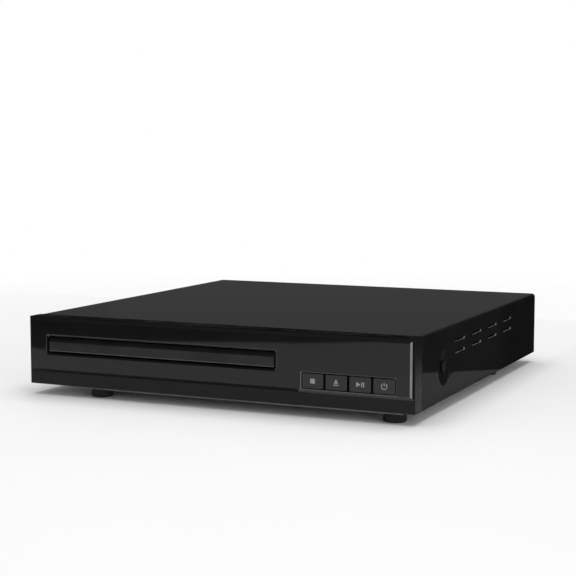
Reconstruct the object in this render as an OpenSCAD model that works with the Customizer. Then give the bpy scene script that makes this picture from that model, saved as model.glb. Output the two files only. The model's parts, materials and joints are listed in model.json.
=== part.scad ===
// DVD player with a motor driven disc tray.
// The origin is the middle of the footprint, on the surface that the feet stand on. The front faces -Y.
// The modules work in the case's own frame: X from the middle of the case, Y back from the front face,
// Z up from the underside of the case. placed() carries that frame onto the origin.
// The loader's modules measure X from the middle of the tray, and in_loader() carries them there.

/* [Case] */
// Width of the case
body_w = 225; // [222:1:280]
// Depth of the case from its front face to the cover's rear lip
body_d = 232; // [231:1:290]
// Height of the case without its feet
body_h = 37.5; // [36.5:0.5:46]
// Depth of the front panel's sides, up to the seam with the cover
panel_depth = 12; // [11.5:0.5:13]
// Wall of the plastic front panel
panel_wall = 2.2; // [1.8:0.1:2.4]
// How far the face plate stands out of the front panel, with an equal bevel
plate_raise = 1.8; // [1.2:0.1:2.0]
// Height of the set-back band under the face plate
band_h = 7; // [5:0.5:7.5]
// Width of the plain rim at both sides of the face plate
plate_side_rim = 0.3; // [0.2:0.1:1]
// Thickness of the steel sheet of cover, chassis and rear panel
sheet_t = 0.8; // [0.6:0.05:1]
// Outside bend radius along the cover's top edges
cover_bend_r = 2; // [1.4:0.1:3]
// Gap where two parts of the case meet
seam = 0.1; // [0.05:0.05:0.3]
// Depth of the lowered platform pressed into the chassis
platform_drop = 1.5; // [1:0.1:2]
// How far the rear sockets stand out behind the case
jack_out = 8; // [6:0.5:10]

/* [Feet] */
// Diameter of a foot
foot_d = 12; // [10:0.5:15]
// Height of a foot under the platform
foot_h = 4.5; // [3:0.5:8]
// Distance of the front feet from the front face
foot_front_in = 12; // [11:0.5:20]
// Distance of the rear feet from the rear of the case
foot_rear_in = 60; // [30:1:70]
// Distance of the left feet from the case's left side
foot_left_in = 40; // [35:1:45]
// Distance of the right feet from the case's right side
foot_right_in = 14; // [13.5:0.5:20]

/* [Cover] */
// Diameter of the round dimple on each side
dimple_d = 20; // [16:1:22]
// Depth of the dimple
dimple_depth = 1.6; // [1:0.1:2]
// Distance of the dimple from the front face
dimple_y = 47; // [44:1:60]
// Height of the dimple's centre
dimple_z = 17.5; // [15:0.5:20]
// Length of a vent slot
vent_l = 16.7; // [12:0.1:20]
// Height of a vent slot
vent_h = 1.2; // [1:0.1:2]
// Distance between vent slots along the side
vent_pitch = 30.8; // [28:0.1:34]
// Distance of the first vent slot's middle from the front face
vent_first_y = 73.9; // [70:0.1:80]
// Number of vent slots in a row
vent_count = 4; // [1:1:4]
// Heights of the two rows of vent slots
vent_rows = [22.4, 28.5]; // [21:0.1:30]
// Thread diameter of the case screws
screw_d = 3; // [2.5:0.5:3]

/* [Tray and door] */
// Distance of the tray's middle from the case's left side
tray_side_in = 81.5; // [80:0.5:84]
// Height of the tray's underside over the underside of the case
tray_z = 18.6; // [18.2:0.1:19]
// How far the tray slides out
tray_travel = 144; // [110:1:144]
// Width of the tray between its side faces
tray_w = 125.5; // [124.5:0.5:126]
// Length of the tray behind its door
tray_len = 175; // [170:1:178]
// Height of the tray's side rails
tray_h = 4.8; // [4.5:0.1:5]
// Diameter of the disc that the tray takes
disc_d = 120; // [118:1:120]
// Play of the disc in its recess, on the diameter
disc_play = 1; // [0.6:0.1:2]
// Depth of the disc recess
recess_depth = 2.4; // [2:0.1:2.6]
// Diameter of the recess for small discs
small_disc_d = 81; // [80.5:0.5:82]
// Depth of the small disc recess below the large one
small_recess_depth = 0.5; // [0.3:0.1:0.7]
// Distance of the closed disc's middle from the front face
disc_y = 80; // [79:0.5:82]
// Width of the slot that the turntable and the pickup work through
tray_slot_w = 46; // [44:1:48]
// Width of the door
door_w = 136; // [134:1:138]
// Height of the door
door_h = 7.6; // [7:0.1:8]
// Thickness of the door
door_t = 3; // [2.6:0.1:3.4]
// How far the closed door lies behind the front face
door_in = 0.3; // [0:0.1:0.6]
// Gap around the door in its slot
door_gap = 0.8; // [0.5:0.1:1]
// Height of the door's upper bevel
door_bevel = 2.2; // [1.5:0.1:2.6]
// Width of the chamfer around the slot
slot_chamfer = 1; // [0.6:0.1:1.4]

/* [Keys] */
// Width of a key
key_w = 11.5; // [10:0.1:12]
// Height of a key
key_h = 7.7; // [6.5:0.1:8]
// Distance between the middles of two keys
key_pitch = 12.8; // [12.3:0.1:13.2]
// Gap around the keys in their window
key_gap = 0.4; // [0.3:0.05:0.8]
// Travel of a key
key_travel = 0.4; // [0.2:0.05:0.45]
// How far a key's face lies behind the front face
key_in = 0.4; // [0:0.1:0.8]
// Distance of the key row's middle from the case's right side
keys_side_in = 34.8; // [34:0.1:38]
// Height of the keys' middle
keys_z = 13.2; // [12.8:0.1:13.6]
// Chamfer around the key window
window_chamfer = 0.4; // [0.2:0.1:0.8]

/* [Tray drive] */
// Tooth module of the tray gears
gear_module = 1; // [1:1:1]
// Teeth of the gear that drives the rack
rack_gear_teeth = 18; // [18:2:18]
// Teeth of the large tray gear
large_gear_teeth = 30; // [26:2:30]
// Teeth of the pinion on the belt pulley
pulley_pinion_teeth = 12; // [12:2:12]
// Play between the flanks of meshing teeth
backlash = 0.2; // [0.16:0.02:0.3]
// Groove radius of the large belt pulley
pulley_groove_r = 12.4; // [11:0.2:12.4]
// Groove radius of the motor pulley
motor_groove_r = 3.1; // [2.9:0.1:3.5]
// Distance from the belt pulley to the loading motor
belt_reach = 35; // [34:1:38]
// Distance of the tray gear from the front face
gear_y = 30; // [29:0.5:31]
// Diameter of the loading motor
motor_d = 24; // [22:0.5:24]

/* [Traverse] */
// Travel of the cam slider
cam_travel = 14; // [10:0.5:15]
// How far the traverse's front pins go down
lift_drop = 7; // [5:0.5:7]
// Distance of the traverse's pivot from the front face
pivot_y = 162; // [160:0.5:163]
// Diameter of the pivot pins
pivot_d = 4; // [3:0.5:5]
// Diameter of the traverse's front pins
lift_pin_d = 3; // [2.5:0.5:3]
// Half the distance between the front pins
lift_pin_x = 20; // [16:1:22]
// Diameter of the pickup's guide rods
rod_d = 3; // [2.5:0.5:3.5]
// Half the distance between the guide rods
rod_x = 27; // [26.5:0.5:27.5]
// Smallest radius that the lens reads at
lens_inner_r = 24; // [23.5:0.5:25]
// Travel of the pickup sled
sled_travel = 36; // [30:1:36]
// Tooth module of the sled drive
sled_module = 0.8; // [0.8:0.1:0.8]
// Radius of the turntable's flange
turntable_r = 14; // [12:0.5:15]
// Radius of the cone that enters the disc's hole
spindle_cone_r = 7.4; // [7.2:0.1:7.45]
// Radius of the clamper's body
clamper_r = 13; // [11:0.5:14]
// Running clearance of shafts and pins in their bores, on the radius
running_gap = 0.05; // [0.03:0.01:0.08]

/* [Rear sockets] */
// Radius of a round socket's metal shell
jack_r = 4.15; // [4:0.05:4.3]
// Distance between the round sockets
jack_pitch = 13; // [12:0.5:15]
// Number of round sockets
jack_count = 4; // [2:1:4]
// Width of the digital socket's opening
digital_w = 14; // [13:0.5:15]
// Height of the digital socket's opening
digital_h = 4.6; // [4.4:0.1:5]
// Distance between the mains inlet's pins
inlet_pitch = 8.6; // [8:0.1:9]
// Diameter of a mains inlet pin
inlet_pin_d = 2.4; // [2:0.1:2.6]

/* [Hidden] */
$fn = 64;

// How far a cut runs past the faces that it goes through
cut = 1;
// How far two pieces of one solid run into each other
bite = 0.5;
overall_d = body_d + jack_out;
base_z = platform_drop + foot_h;
half_w = body_w / 2;

// Case levels
cover_in_x = half_w - sheet_t;
cover_in_z = body_h - sheet_t;
pit_z = sheet_t - platform_drop;
chassis_side_x = cover_in_x - seam;
plate_y = plate_raise + panel_wall;
chassis_front_y = plate_y + seam + 0.1;
rear_y = body_d - 2 * sheet_t - seam;
platform_left = -half_w + 22.5;
platform_right = half_w - 6.5;
platform_front = chassis_front_y + 0.2;
platform_rear = body_d - 16;
board_t = 1.6;
board_z = 6;
board_top = board_z + board_t;

// Loader: everything here is measured from the middle of the tray in X
tray_x = -half_w + tray_side_in;
tray_front = door_in + door_t;
tray_rear = tray_front + tray_len;
tray_top = tray_z + tray_h;
recess_z = tray_top - recess_depth;
recess_r = (disc_d + disc_play) / 2;
runner_w = 3;
rail_gap = 0.3;
wall_t = 2.5;
left_wall_x = -tray_w / 2 - 3.75;
loader_left = left_wall_x - wall_t;
rack_line = tray_w / 2 + 1.25 * gear_module;
right_wall_x = rack_line + 3;
loader_right = right_wall_x + wall_t;
left_tab = 5;
right_tab = 7;
ledge_w = 8.5;
tab_l = 8;
ledge_t = 1.8;
ledge_top = tray_z - rail_gap;
tab_low = tray_top + rail_gap;
tab_t = 1.5;
loader_front = 8;
loader_rear = tray_rear + 5.7;
side_rail_front = 50;
deck_z = tray_z - 10.6;
deck_t = 1.6;
bridge_z = tray_top + 6.1;
bridge_t = 1;
bridge_half = 20;
bridge_pad = 4;
bridge_pad_half = 14;

// Tray drive
rack_gear_r = gear_module * rack_gear_teeth / 2;
large_gear_r = gear_module * large_gear_teeth / 2;
pulley_pinion_r = gear_module * pulley_pinion_teeth / 2;
tray_gear_x = rack_line + rack_gear_r;
pulley_x = tray_gear_x - large_gear_r - pulley_pinion_r;
motor_x = pulley_x - belt_reach;
rack_z = tray_z + 0.2;
rack_h = 3.8;
gear_low_z = deck_z + 2;
gear_low_h = 4;
belt_z = tray_z - 3.1;
belt_h = 2;
pulley_z = belt_z - 0.1;
pulley_h = belt_h + 0.4;
post_r = 2;
thin_post_r = 1.5;

// Door and slot
door_z = tray_z + 0.1;
slot_low = door_z - door_gap;
slot_high = door_z + door_h + door_gap;
slot_w = door_w + 2 * door_gap;

// Keys
keys_x = half_w - keys_side_in;
key_places = [for (i = [0 : 3]) keys_x + (i - 1.5) * key_pitch];
key_flange_t = 0.8;
key_flange_y = plate_y + 0.2;
key_stem_r = 1.5;
key_stem_end = key_flange_y + key_flange_t + 2.1;
carrier_y = key_flange_y + key_flange_t + 0.8;
carrier_t = 1;
window_w = 3 * key_pitch + key_w + 2 * key_gap;
window_h = key_h + 2 * key_gap;
switch_w = 6;
switch_h = 3.5;
switch_play = 0.8;
front_board_y = key_stem_end + switch_play + switch_h;
front_board_low = 3;
front_board_high = 34;

// Traverse
plate_z = tray_z - 7.6;
plate_t = 1.6;
plate_top = plate_z + plate_t;
pivot_z = plate_z + plate_t / 2;
cam_y = 47;
cam_t = 4;
cam_low = pivot_z - lift_drop - 2.8;
cam_high = pivot_z + 2.6;
cam_play = 0.25;
cam_slack = 0.3;
traverse_front = 58;
traverse_rear = pivot_y + 3;
traverse_left = -57;
traverse_right = 38;
window_half_x = 25;
window_front = disc_y + 10;
window_rear = pivot_y - 6;
rod_z = plate_top + 2.2;
rod_hold = 0.02;
rod_front = 60;
rod_rear = pivot_y - 2;
lens_y = disc_y + lens_inner_r;
sled_front = lens_y - 11;
sled_rear = lens_y + 14;
sled_top = plate_top + 5.2;
rack_bar_x = -rod_x - 2.5;
sled_rack_line = rack_bar_x - 1.5 - 1.25 * sled_module;
sled_small_teeth = 15;
sled_large_teeth = 30;
sled_pinion_teeth = 12;
sled_gear_x = sled_rack_line - sled_module * sled_small_teeth / 2;
sled_gear_y = lens_y + 18;
sled_reach = sled_module * (sled_large_teeth + sled_pinion_teeth) / 2;
sled_motor_out = 7;
sled_motor_x = sled_gear_x - sled_motor_out;
sled_motor_y = sled_gear_y - sqrt(sled_reach * sled_reach - sled_motor_out * sled_motor_out);
sled_motor_r = 9;
sled_turn = atan2(sled_motor_y - sled_gear_y, sled_motor_x - sled_gear_x);
sled_low_z = plate_z - 2.4;
sled_low_h = 1.8;
sled_rack_z = plate_top + 0.8;
sled_rack_h = 2;
rotor_r = 12;
rotor_z = plate_top + 0.8;
rotor_top = rotor_z + 4.6;
spindle_shaft_r = 1;
flange_top = tray_top - 0.8;
flange_t = 1.2;
cone_h = 2;
clamper_low = flange_top + 2.6;

// Rear boards
main_left = -half_w + 7.5;
main_right = tray_x + 71;
main_front = loader_rear + 4;
main_rear = rear_y - 1.2;
power_left = half_w - 50.5;
power_right = half_w - 3.5;
power_front = 60;
jack_x = tray_x + 21;
jack_z = board_top + 7;
digital_x = tray_x - 29;
socket_wall = 0.5;
digital_size = [digital_w, digital_h] + 2 * socket_wall * [1, 1];
digital_z = board_top + socket_wall + digital_h / 2;
inlet_x = half_w - 24;
inlet_h = 15;
inlet_z = board_top + inlet_h / 2;
inlet_w = 24;
inlet_depth = 18;
inlet_back = rear_y + sheet_t + 1.2;
inlet_pin_front = inlet_back - inlet_depth + 1;
cavity_w = inlet_pitch + 8.6;
cavity_h = 8.6;
cavity_depth = 13;
inlet_pin_root_r = inlet_pin_d / 2 - 0.25;

// Small fittings
panel_top = cover_in_z - seam - 1.6;
cover_lip = 9;
case_screw_r = screw_d / 2 - 0.2;
screw_seat = 0.15;
case_head = [2.9, 1.4];
inner_screw_r = 1.25;
inner_head = [2.4, 1.2];
screw_l = 5;
hole_play = 0.3;
foot_spigot_r = 2.5;
ear_t = 3;
ear_reach = 7;
ear_half = 5;
ear_hole = 3.5;
lug_gap = 0.6;
pivot_l = 4;
deck_front = front_board_y + board_t + 0.5;
loader_board_low = deck_z - 0.2 - board_t;
motor_low = deck_z - 5.6;
motor_top = tray_z - 4.2;
motor_shaft_r = 1;
motor_boss_r = 3;
sled_hub_r = 3;
focus_gap = 0.6;
clamper_top = bridge_z + bridge_t + 1.1;
magnet_r = 8;
plunger_r = 1.7;
plunger_in = 1.5;
jack_places = [for (i = [0 : jack_count - 1]) jack_x + (i - (jack_count - 1) / 2) * jack_pitch];
jack_front = rear_y - 3;
jack_shell_t = 0.65;
jack_bore_r = 1.7;
jack_collar_r = jack_r + 1.45;
jack_collar_end = rear_y + sheet_t + 0.6;
jack_base_r = jack_r - 0.2;
jack_free_y = jack_collar_end + 0.4;

// Screw places on boards and ears
main_screws = [
  [main_left + 5, main_front + 5], [main_right - 5, main_front + 5],
  [main_left + 5, main_rear - 6], [main_right - 5, main_rear - 6]
];
power_screws = [
  [power_left + 4, power_front + 5], [power_right - 8, power_front + 5],
  [power_left + 4, body_d - 30], [power_right - 8, body_d - foot_rear_in - 16]
];
loader_ears = [
  [loader_left - ear_hole, 25], [loader_left - ear_hole, loader_rear - 14],
  [loader_right + ear_hole, 60], [loader_right + ear_hole, loader_rear - 14]
];
ear_z = board_z;
bridge_screws = [
  for (x = [loader_left - 1, loader_right + 1], y = [disc_y - 9, disc_y + 9]) [x, y]
];
rear_screw_x = [-half_w + 14, 5, half_w - 14];
rear_screw_z = body_h - 5;

// Frames

module placed() {
  translate([0, -overall_d / 2, base_z]) children();
}

module in_loader() {
  placed() translate([tray_x, 0, 0]) children();
}

// Shapes

module block(low, high) {
  translate(low) cube(high - low);
}

// A cylinder whose axis runs back along +Y from the given point
module rod_y(at, r, length) {
  translate(at) rotate([-90, 0, 0]) cylinder(r = r, h = length);
}

// A cylinder whose axis runs along +X from the given point
module rod_x(at, r, length) {
  translate(at) rotate([0, 90, 0]) cylinder(r = r, h = length);
}

module post(at, r, height) {
  translate(at) cylinder(r = r, h = height);
}

module rounded_outline(size, r) {
  square([size.x - 2 * r, size.y], center = true);
  square([size.x, size.y - 2 * r], center = true);
  for (x = [-1, 1], y = [-1, 1]) {
    translate([x * (size.x / 2 - r), y * (size.y / 2 - r)]) circle(r = r);
  }
}

// A slab in the XZ plane with rounded corners, centred on x and z, from y to y + depth
module upright_slab(x, z, y, size, r, depth) {
  translate([x, y + depth, z]) rotate([90, 0, 0]) linear_extrude(depth) rounded_outline(size, r);
}

// A 45 degree chamfer around an opening of the given size in a face at y
module chamfered_mouth(x, z, y, size, chamfer) {
  front = 0.2;
  wide = size + 2 * (chamfer + front) * [1, 1];
  depth = chamfer + front;
  intersection() {
    translate([x, y - front, z - wide.y]) linear_extrude(2 * wide.y)
      polygon([[-wide.x / 2, 0], [wide.x / 2, 0], [size.x / 2, depth], [-size.x / 2, depth]]);
    translate([x - wide.x, y - front, z]) rotate([90, 0, 90]) linear_extrude(2 * wide.x)
      polygon([[0, -wide.y / 2], [0, wide.y / 2], [depth, size.y / 2], [depth, -size.y / 2]]);
  }
}

// A screw with a round head on top of its shank, standing on the head's underside at z = 0.
// head holds the head's radius and height.
module screw(head, shank_r, shank_l) {
  cross_w = 0.6;
  cross_l = head.x * 1.2;
  difference() {
    union() {
      cylinder(r = head.x, h = head.y);
      translate([0, 0, -shank_l]) cylinder(r = shank_r, h = shank_l + head.y / 2);
    }
    for (turn = [0, 90]) {
      rotate(turn) translate([-cross_l / 2, -cross_w / 2, head.y / 2]) cube([cross_l, cross_w, head.y]);
    }
  }
}

// Half the angle of a tooth at radius r, on a true involute with a 20 degree pressure angle
pressure = 20;
function involute(angle) = tan(angle) * 180 / PI - angle;
function tooth_half(r, teeth, m) = (90 - 90 * backlash / (PI * m)) / teeth + involute(pressure)
  - involute(acos(min(1, m * teeth * cos(pressure) / (2 * r))));
function gear_radii(teeth, m) = let (pitch_r = m * teeth / 2, base_r = pitch_r * cos(pressure))
  [pitch_r - 1.25 * m, max(pitch_r - 1.2 * m, base_r), pitch_r, pitch_r + 0.95 * m];
function gear_points(teeth, m) = let (base_r = m * teeth * cos(pressure) / 2, radii = gear_radii(teeth, m)) [
  for (i = [0 : teeth - 1], side = [-1, 1], k = side < 0 ? [0 : 3] : [3 : -1 : 0])
    let (turn = 360 * i / teeth + side * tooth_half(max(radii[k], base_r), teeth, m))
    radii[k] * [cos(turn), sin(turn)]
];

// A gear layer whose first tooth points along +X
module gear_layer(teeth, m, height) {
  linear_extrude(height) polygon(gear_points(teeth, m));
}

// Teeth that face +X from the pitch line at x = 0, with a gap at y = 0, from y = front to y = rear
module rack_layer(front, rear, m, height, back) {
  step = PI * m;
  half_top = step / 4 - backlash / 4 - 0.95 * m * tan(pressure);
  half_root = step / 4 - backlash / 4 + 1.25 * m * tan(pressure);
  first = -floor(-front / step);
  last = floor(rear / step) - 1;
  outline = [
    for (i = [first : last], p = [[-1.25 * m, -half_root], [0.95 * m, -half_top],
      [0.95 * m, half_top], [-1.25 * m, half_root]]) [p.x, p.y + (i + 0.5) * step]
  ];
  linear_extrude(height) polygon(concat([[-back, front]], [[-1.25 * m, front]], outline,
    [[-1.25 * m, rear]], [[-back, rear]]));
}

// Case

module face_plate() {
  width = body_w - 2 * plate_side_rim;
  top = body_h - plate_side_rim;
  intersection() {
    translate([0, 0, band_h - cut]) linear_extrude(body_h)
      polygon([[-width / 2 + plate_raise, 0], [width / 2 - plate_raise, 0], [width / 2, plate_raise],
        [width / 2, plate_y], [-width / 2, plate_y], [-width / 2, plate_raise]]);
    translate([-half_w, 0, 0]) rotate([90, 0, 90]) linear_extrude(body_w)
      polygon([[0, band_h + plate_raise], [plate_raise, band_h], [plate_y, band_h], [plate_y, top],
        [plate_raise, top], [0, top - plate_raise]]);
  }
}

module front_panel() {
  door_mid = (slot_low + slot_high) / 2;
  slot_size = [slot_w, slot_high - slot_low];
  window_size = [window_w, window_h];
  tongue_side = half_w - panel_wall - 4;
  color([0.03, 0.03, 0.035]) placed() difference() {
    union() {
      block([-half_w, plate_raise, 0], [half_w, panel_depth, body_h]);
      face_plate();
      block([-tongue_side, panel_depth - cut, panel_top], [tongue_side, panel_depth + 4, cover_in_z - seam]);
    }
    block([-half_w + panel_wall, plate_y, -cut], [half_w - panel_wall, panel_depth + cut, panel_top]);
    upright_slab(tray_x, door_mid, -cut, slot_size, 1, plate_y + 2 * cut);
    chamfered_mouth(tray_x, door_mid, 0, slot_size, slot_chamfer);
    upright_slab(keys_x, keys_z, -cut, window_size, 1.5, plate_y + 2 * cut);
    chamfered_mouth(keys_x, keys_z, 0, window_size, window_chamfer);
  }
}

module cover_outline(width, top, r) {
  square_w = width - 2 * r;
  translate([-width / 2, 0]) square([width, top - r]);
  translate([-square_w / 2, 0]) square([square_w, top]);
  for (x = [-1, 1]) translate([x * square_w / 2, top - r]) circle(r = r);
}

module dimple_ball(grow) {
  ball_r = (dimple_d * dimple_d / 4 + dimple_depth * dimple_depth) / (2 * dimple_depth);
  translate([half_w - dimple_depth + ball_r, dimple_y, dimple_z]) sphere(r = ball_r + grow, $fn = 128);
}

module cover_side_cuts() {
  for (row = vent_rows, i = [0 : vent_count - 1]) {
    middle = vent_first_y + i * vent_pitch;
    block([half_w - sheet_t - cut, middle - vent_l / 2, row - vent_h / 2],
      [half_w + cut, middle + vent_l / 2, row + vent_h / 2]);
  }
  dimple_ball(0);
  rod_x([half_w - 8, dimple_y, dimple_z], screw_d / 2 + 0.2, 12);
}

module top_cover() {
  length = body_d - panel_depth - seam;
  color([0.025, 0.025, 0.03]) placed() difference() {
    union() {
      difference() {
        translate([0, body_d, 0]) rotate([90, 0, 0]) linear_extrude(length)
          cover_outline(body_w, body_h, cover_bend_r);
        translate([0, body_d - sheet_t, -cut]) rotate([90, 0, 0]) linear_extrude(length)
          cover_outline(body_w - 2 * sheet_t, cover_in_z + cut, cover_bend_r - sheet_t);
        block([-cover_in_x, body_d - 2 * sheet_t, -cut], [cover_in_x, body_d + cut, body_h - cover_lip]);
      }
      for (side = [0, 1]) mirror([side, 0, 0]) intersection() {
        dimple_ball(sheet_t);
        block([half_w - dimple_depth - 2, dimple_y - dimple_d, dimple_z - dimple_d],
          [half_w - sheet_t / 2, dimple_y + dimple_d, dimple_z + dimple_d]);
      }
    }
    for (side = [0, 1]) mirror([side, 0, 0]) cover_side_cuts();
    for (x = rear_screw_x) rod_y([x, body_d - 2, rear_screw_z], screw_d / 2 + 0.2, 4);
  }
}

// The platform's solid from low up, with 45 degree sides that run on by extra over its top
module platform(low, extra) {
  depth = platform_drop + extra;
  front = platform_front - extra;
  rear = platform_rear + extra;
  left = platform_left - extra;
  right = platform_right + extra;
  intersection() {
    translate([left - cut, 0, low]) rotate([90, 0, 90]) linear_extrude(right - left + 2 * cut)
      polygon([[front + depth, 0], [rear - depth, 0], [rear, depth], [front, depth]]);
    translate([0, rear + cut, low]) rotate([90, 0, 0]) linear_extrude(rear - front + 2 * cut)
      polygon([[left + depth, 0], [right - depth, 0], [right, depth], [left, depth]]);
  }
}

module foot_places() {
  for (x = [-half_w + foot_left_in, half_w - foot_right_in], y = [foot_front_in, body_d - foot_rear_in]) {
    translate([x, y, -platform_drop]) children();
  }
}

module bottom_chassis() {
  front_flange = half_w - panel_wall - 2;
  flange_h = 8;
  color([0.62, 0.64, 0.66]) placed() difference() {
    union() {
      difference() {
        union() {
          block([-chassis_side_x, chassis_front_y, 0], [chassis_side_x, rear_y - seam, sheet_t]);
          platform(-platform_drop, 0);
        }
        platform(sheet_t - platform_drop, cut);
        block([-chassis_side_x - cut, 0, -cut], [-front_flange, panel_depth + seam, sheet_t + cut]);
        block([front_flange, 0, -cut], [chassis_side_x + cut, panel_depth + seam, sheet_t + cut]);
      }
      for (side = [0, 1]) mirror([side, 0, 0]) {
        block([chassis_side_x - sheet_t, panel_depth + 2, 0],
          [chassis_side_x, dimple_y - dimple_d / 2 - 3, flange_h]);
        block([chassis_side_x - sheet_t, dimple_y + dimple_d / 2 + 3, 0],
          [chassis_side_x, rear_y - seam, flange_h]);
      }
      block([-front_flange, chassis_front_y, 0], [front_flange, chassis_front_y + sheet_t, 5.5]);
      block([-chassis_side_x, rear_y - seam - sheet_t, 0], [chassis_side_x, rear_y - seam, 5.5]);
    }
    foot_places() post([0, 0, -cut], foot_spigot_r + 0.05, platform_drop + 2 * cut);
    for (i = [0 : 5]) {
      slot_y = power_front + 14 + i * 14;
      block([power_left + 10, slot_y, -platform_drop - cut], [power_left + 34, slot_y + 2, sheet_t]);
    }
  }
}

// A riveted standoff with a screw hole, from the chassis floor up to the given height
module standoff(at, r, top) {
  rim = 4;
  in_pit = at.x > platform_left + rim && at.x < platform_right - rim && at.y < platform_rear - rim;
  low = in_pit ? pit_z : sheet_t;
  difference() {
    post([at.x, at.y, low], r, top - low);
    post([at.x, at.y, sheet_t], inner_screw_r, top);
  }
}

// The standoffs under the boards and the loader, and the brackets that the cover's side screws go into
module chassis_standoffs() {
  bracket_x = half_w - dimple_depth - sheet_t - seam;
  bracket_half = 7;
  bracket_foot = 8;
  front = dimple_y - bracket_half;
  rear = dimple_y + bracket_half;
  color([0.66, 0.68, 0.7]) placed() {
    for (at = concat(main_screws, power_screws)) standoff(at, 2.6, board_z);
    for (at = loader_ears) standoff([at.x + tray_x, at.y], 3.4, ear_z);
    for (side = [0, 1]) mirror([side, 0, 0]) difference() {
      union() {
        block([bracket_x - bracket_foot, front, sheet_t], [bracket_x, rear, 2 * sheet_t]);
        block([bracket_x - sheet_t, front, sheet_t], [bracket_x, rear, dimple_z + bracket_half]);
      }
      rod_x([half_w - 8, dimple_y, dimple_z], case_screw_r, 12);
    }
  }
}

module rear_panel() {
  side = cover_in_x - 2 * seam;
  top = cover_in_z - seam;
  color([0.55, 0.56, 0.58]) placed() difference() {
    translate([0, rear_y + sheet_t, 0]) rotate([90, 0, 0]) linear_extrude(sheet_t)
      polygon([[-side, seam], [side, seam], [side, top - cover_bend_r], [side - cover_bend_r, top],
        [cover_bend_r - side, top], [-side, top - cover_bend_r]]);
    for (x = rear_screw_x) rod_y([x, rear_y - cut, rear_screw_z], case_screw_r, 4);
    for (x = jack_places) rod_y([x, rear_y - cut, jack_z], jack_collar_r + 0.2, 4);
    upright_slab(digital_x, digital_z, rear_y - cut, digital_size + [0.4, 0.4], 0.2, 4);
    block([inlet_x - inlet_w / 2 - 0.2, rear_y - cut, inlet_z - inlet_h / 2 - 0.2],
      [inlet_x + inlet_w / 2 + 0.2, rear_y + 4, inlet_z + inlet_h / 2 + 0.2]);
    for (i = [0 : 8]) {
      slot_x = jack_places[jack_count - 1] + 12 + i * 4;
      block([slot_x, rear_y - cut, 11], [slot_x + 2, rear_y + 4, 27]);
    }
  }
}

module foot(right, rear) {
  x = right ? half_w - foot_right_in : -half_w + foot_left_in;
  y = rear ? body_d - foot_rear_in : foot_front_in;
  edge = 0.8;
  color([0.08, 0.08, 0.08]) placed() translate([x, y, -platform_drop - foot_h]) {
    cylinder(r1 = foot_d / 2 - edge, r2 = foot_d / 2, h = edge);
    translate([0, 0, edge]) cylinder(r = foot_d / 2, h = foot_h - edge);
    translate([0, 0, edge]) cylinder(r = foot_spigot_r, h = foot_h - edge + sheet_t + 0.6);
  }
}

module foot_front_left() {
  foot(false, false);
}

module foot_front_right() {
  foot(true, false);
}

module foot_rear_left() {
  foot(false, true);
}

module foot_rear_right() {
  foot(true, true);
}

module cover_screws() {
  color([0.1, 0.1, 0.1]) placed() {
    for (side = [-1, 1]) translate([side * (half_w - dimple_depth + screw_seat), dimple_y, dimple_z])
      rotate([0, side * 90, 0]) screw(case_head, case_screw_r - 0.02, 4);
    for (x = rear_screw_x) translate([x, body_d, rear_screw_z])
      rotate([-90, 0, 0]) screw(case_head, case_screw_r - 0.02, 4);
  }
}

// Door and tray

module tray_door() {
  low_edge = 0.5;
  color([0.05, 0.05, 0.055]) in_loader() translate([-door_w / 2, door_in, door_z])
    rotate([90, 0, 90]) linear_extrude(door_w)
      polygon([[0, low_edge], [low_edge, 0], [door_t, 0], [door_t, door_h],
        [door_bevel * 0.9, door_h], [0, door_h - door_bevel]]);
}

module tray_plan() {
  block([-tray_w / 2, tray_front, tray_z], [tray_w / 2, tray_rear, tray_top]);
}

module disc_tray() {
  notch_r = 10;
  slot_half = tray_slot_w / 2;
  color([0.06, 0.06, 0.065]) in_loader() {
    difference() {
      tray_plan();
      post([0, disc_y, recess_z], recess_r, tray_h);
      post([0, disc_y, recess_z - small_recess_depth], small_disc_d / 2, tray_h);
      post([0, disc_y, tray_z - cut], slot_half, tray_h + 2 * cut);
      block([-slot_half + 0.5, disc_y, tray_z - cut], [slot_half - 0.5, tray_rear + cut, tray_top + cut]);
      for (x = [-1, 1]) post([x * recess_r * 0.7, disc_y - recess_r * 0.75, recess_z], notch_r, tray_h);
      block([-tray_w / 2 + runner_w, tray_front + 4, tray_z - cut],
        [tray_w / 2 - runner_w, tray_rear - 2, tray_z + 0.9]);
    }
    translate([rack_line, gear_y, rack_z])
      rack_layer(-2.1 * PI * gear_module, tray_travel + 4, gear_module, rack_h, 2.25 * gear_module);
  }
}

// Loader

// Tabs that keep the tray down on its ledges, from one X to the other at each of the given Y
module rail_tabs(from_x, to_x, places) {
  for (y = places) block([from_x, y, tab_low], [to_x, y + tab_l, tab_low + tab_t]);
}

module loader_ear(from_x, to_x, y) {
  block([from_x, y - ear_half, ear_z], [to_x, y + ear_half, ear_z + ear_t]);
}

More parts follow.
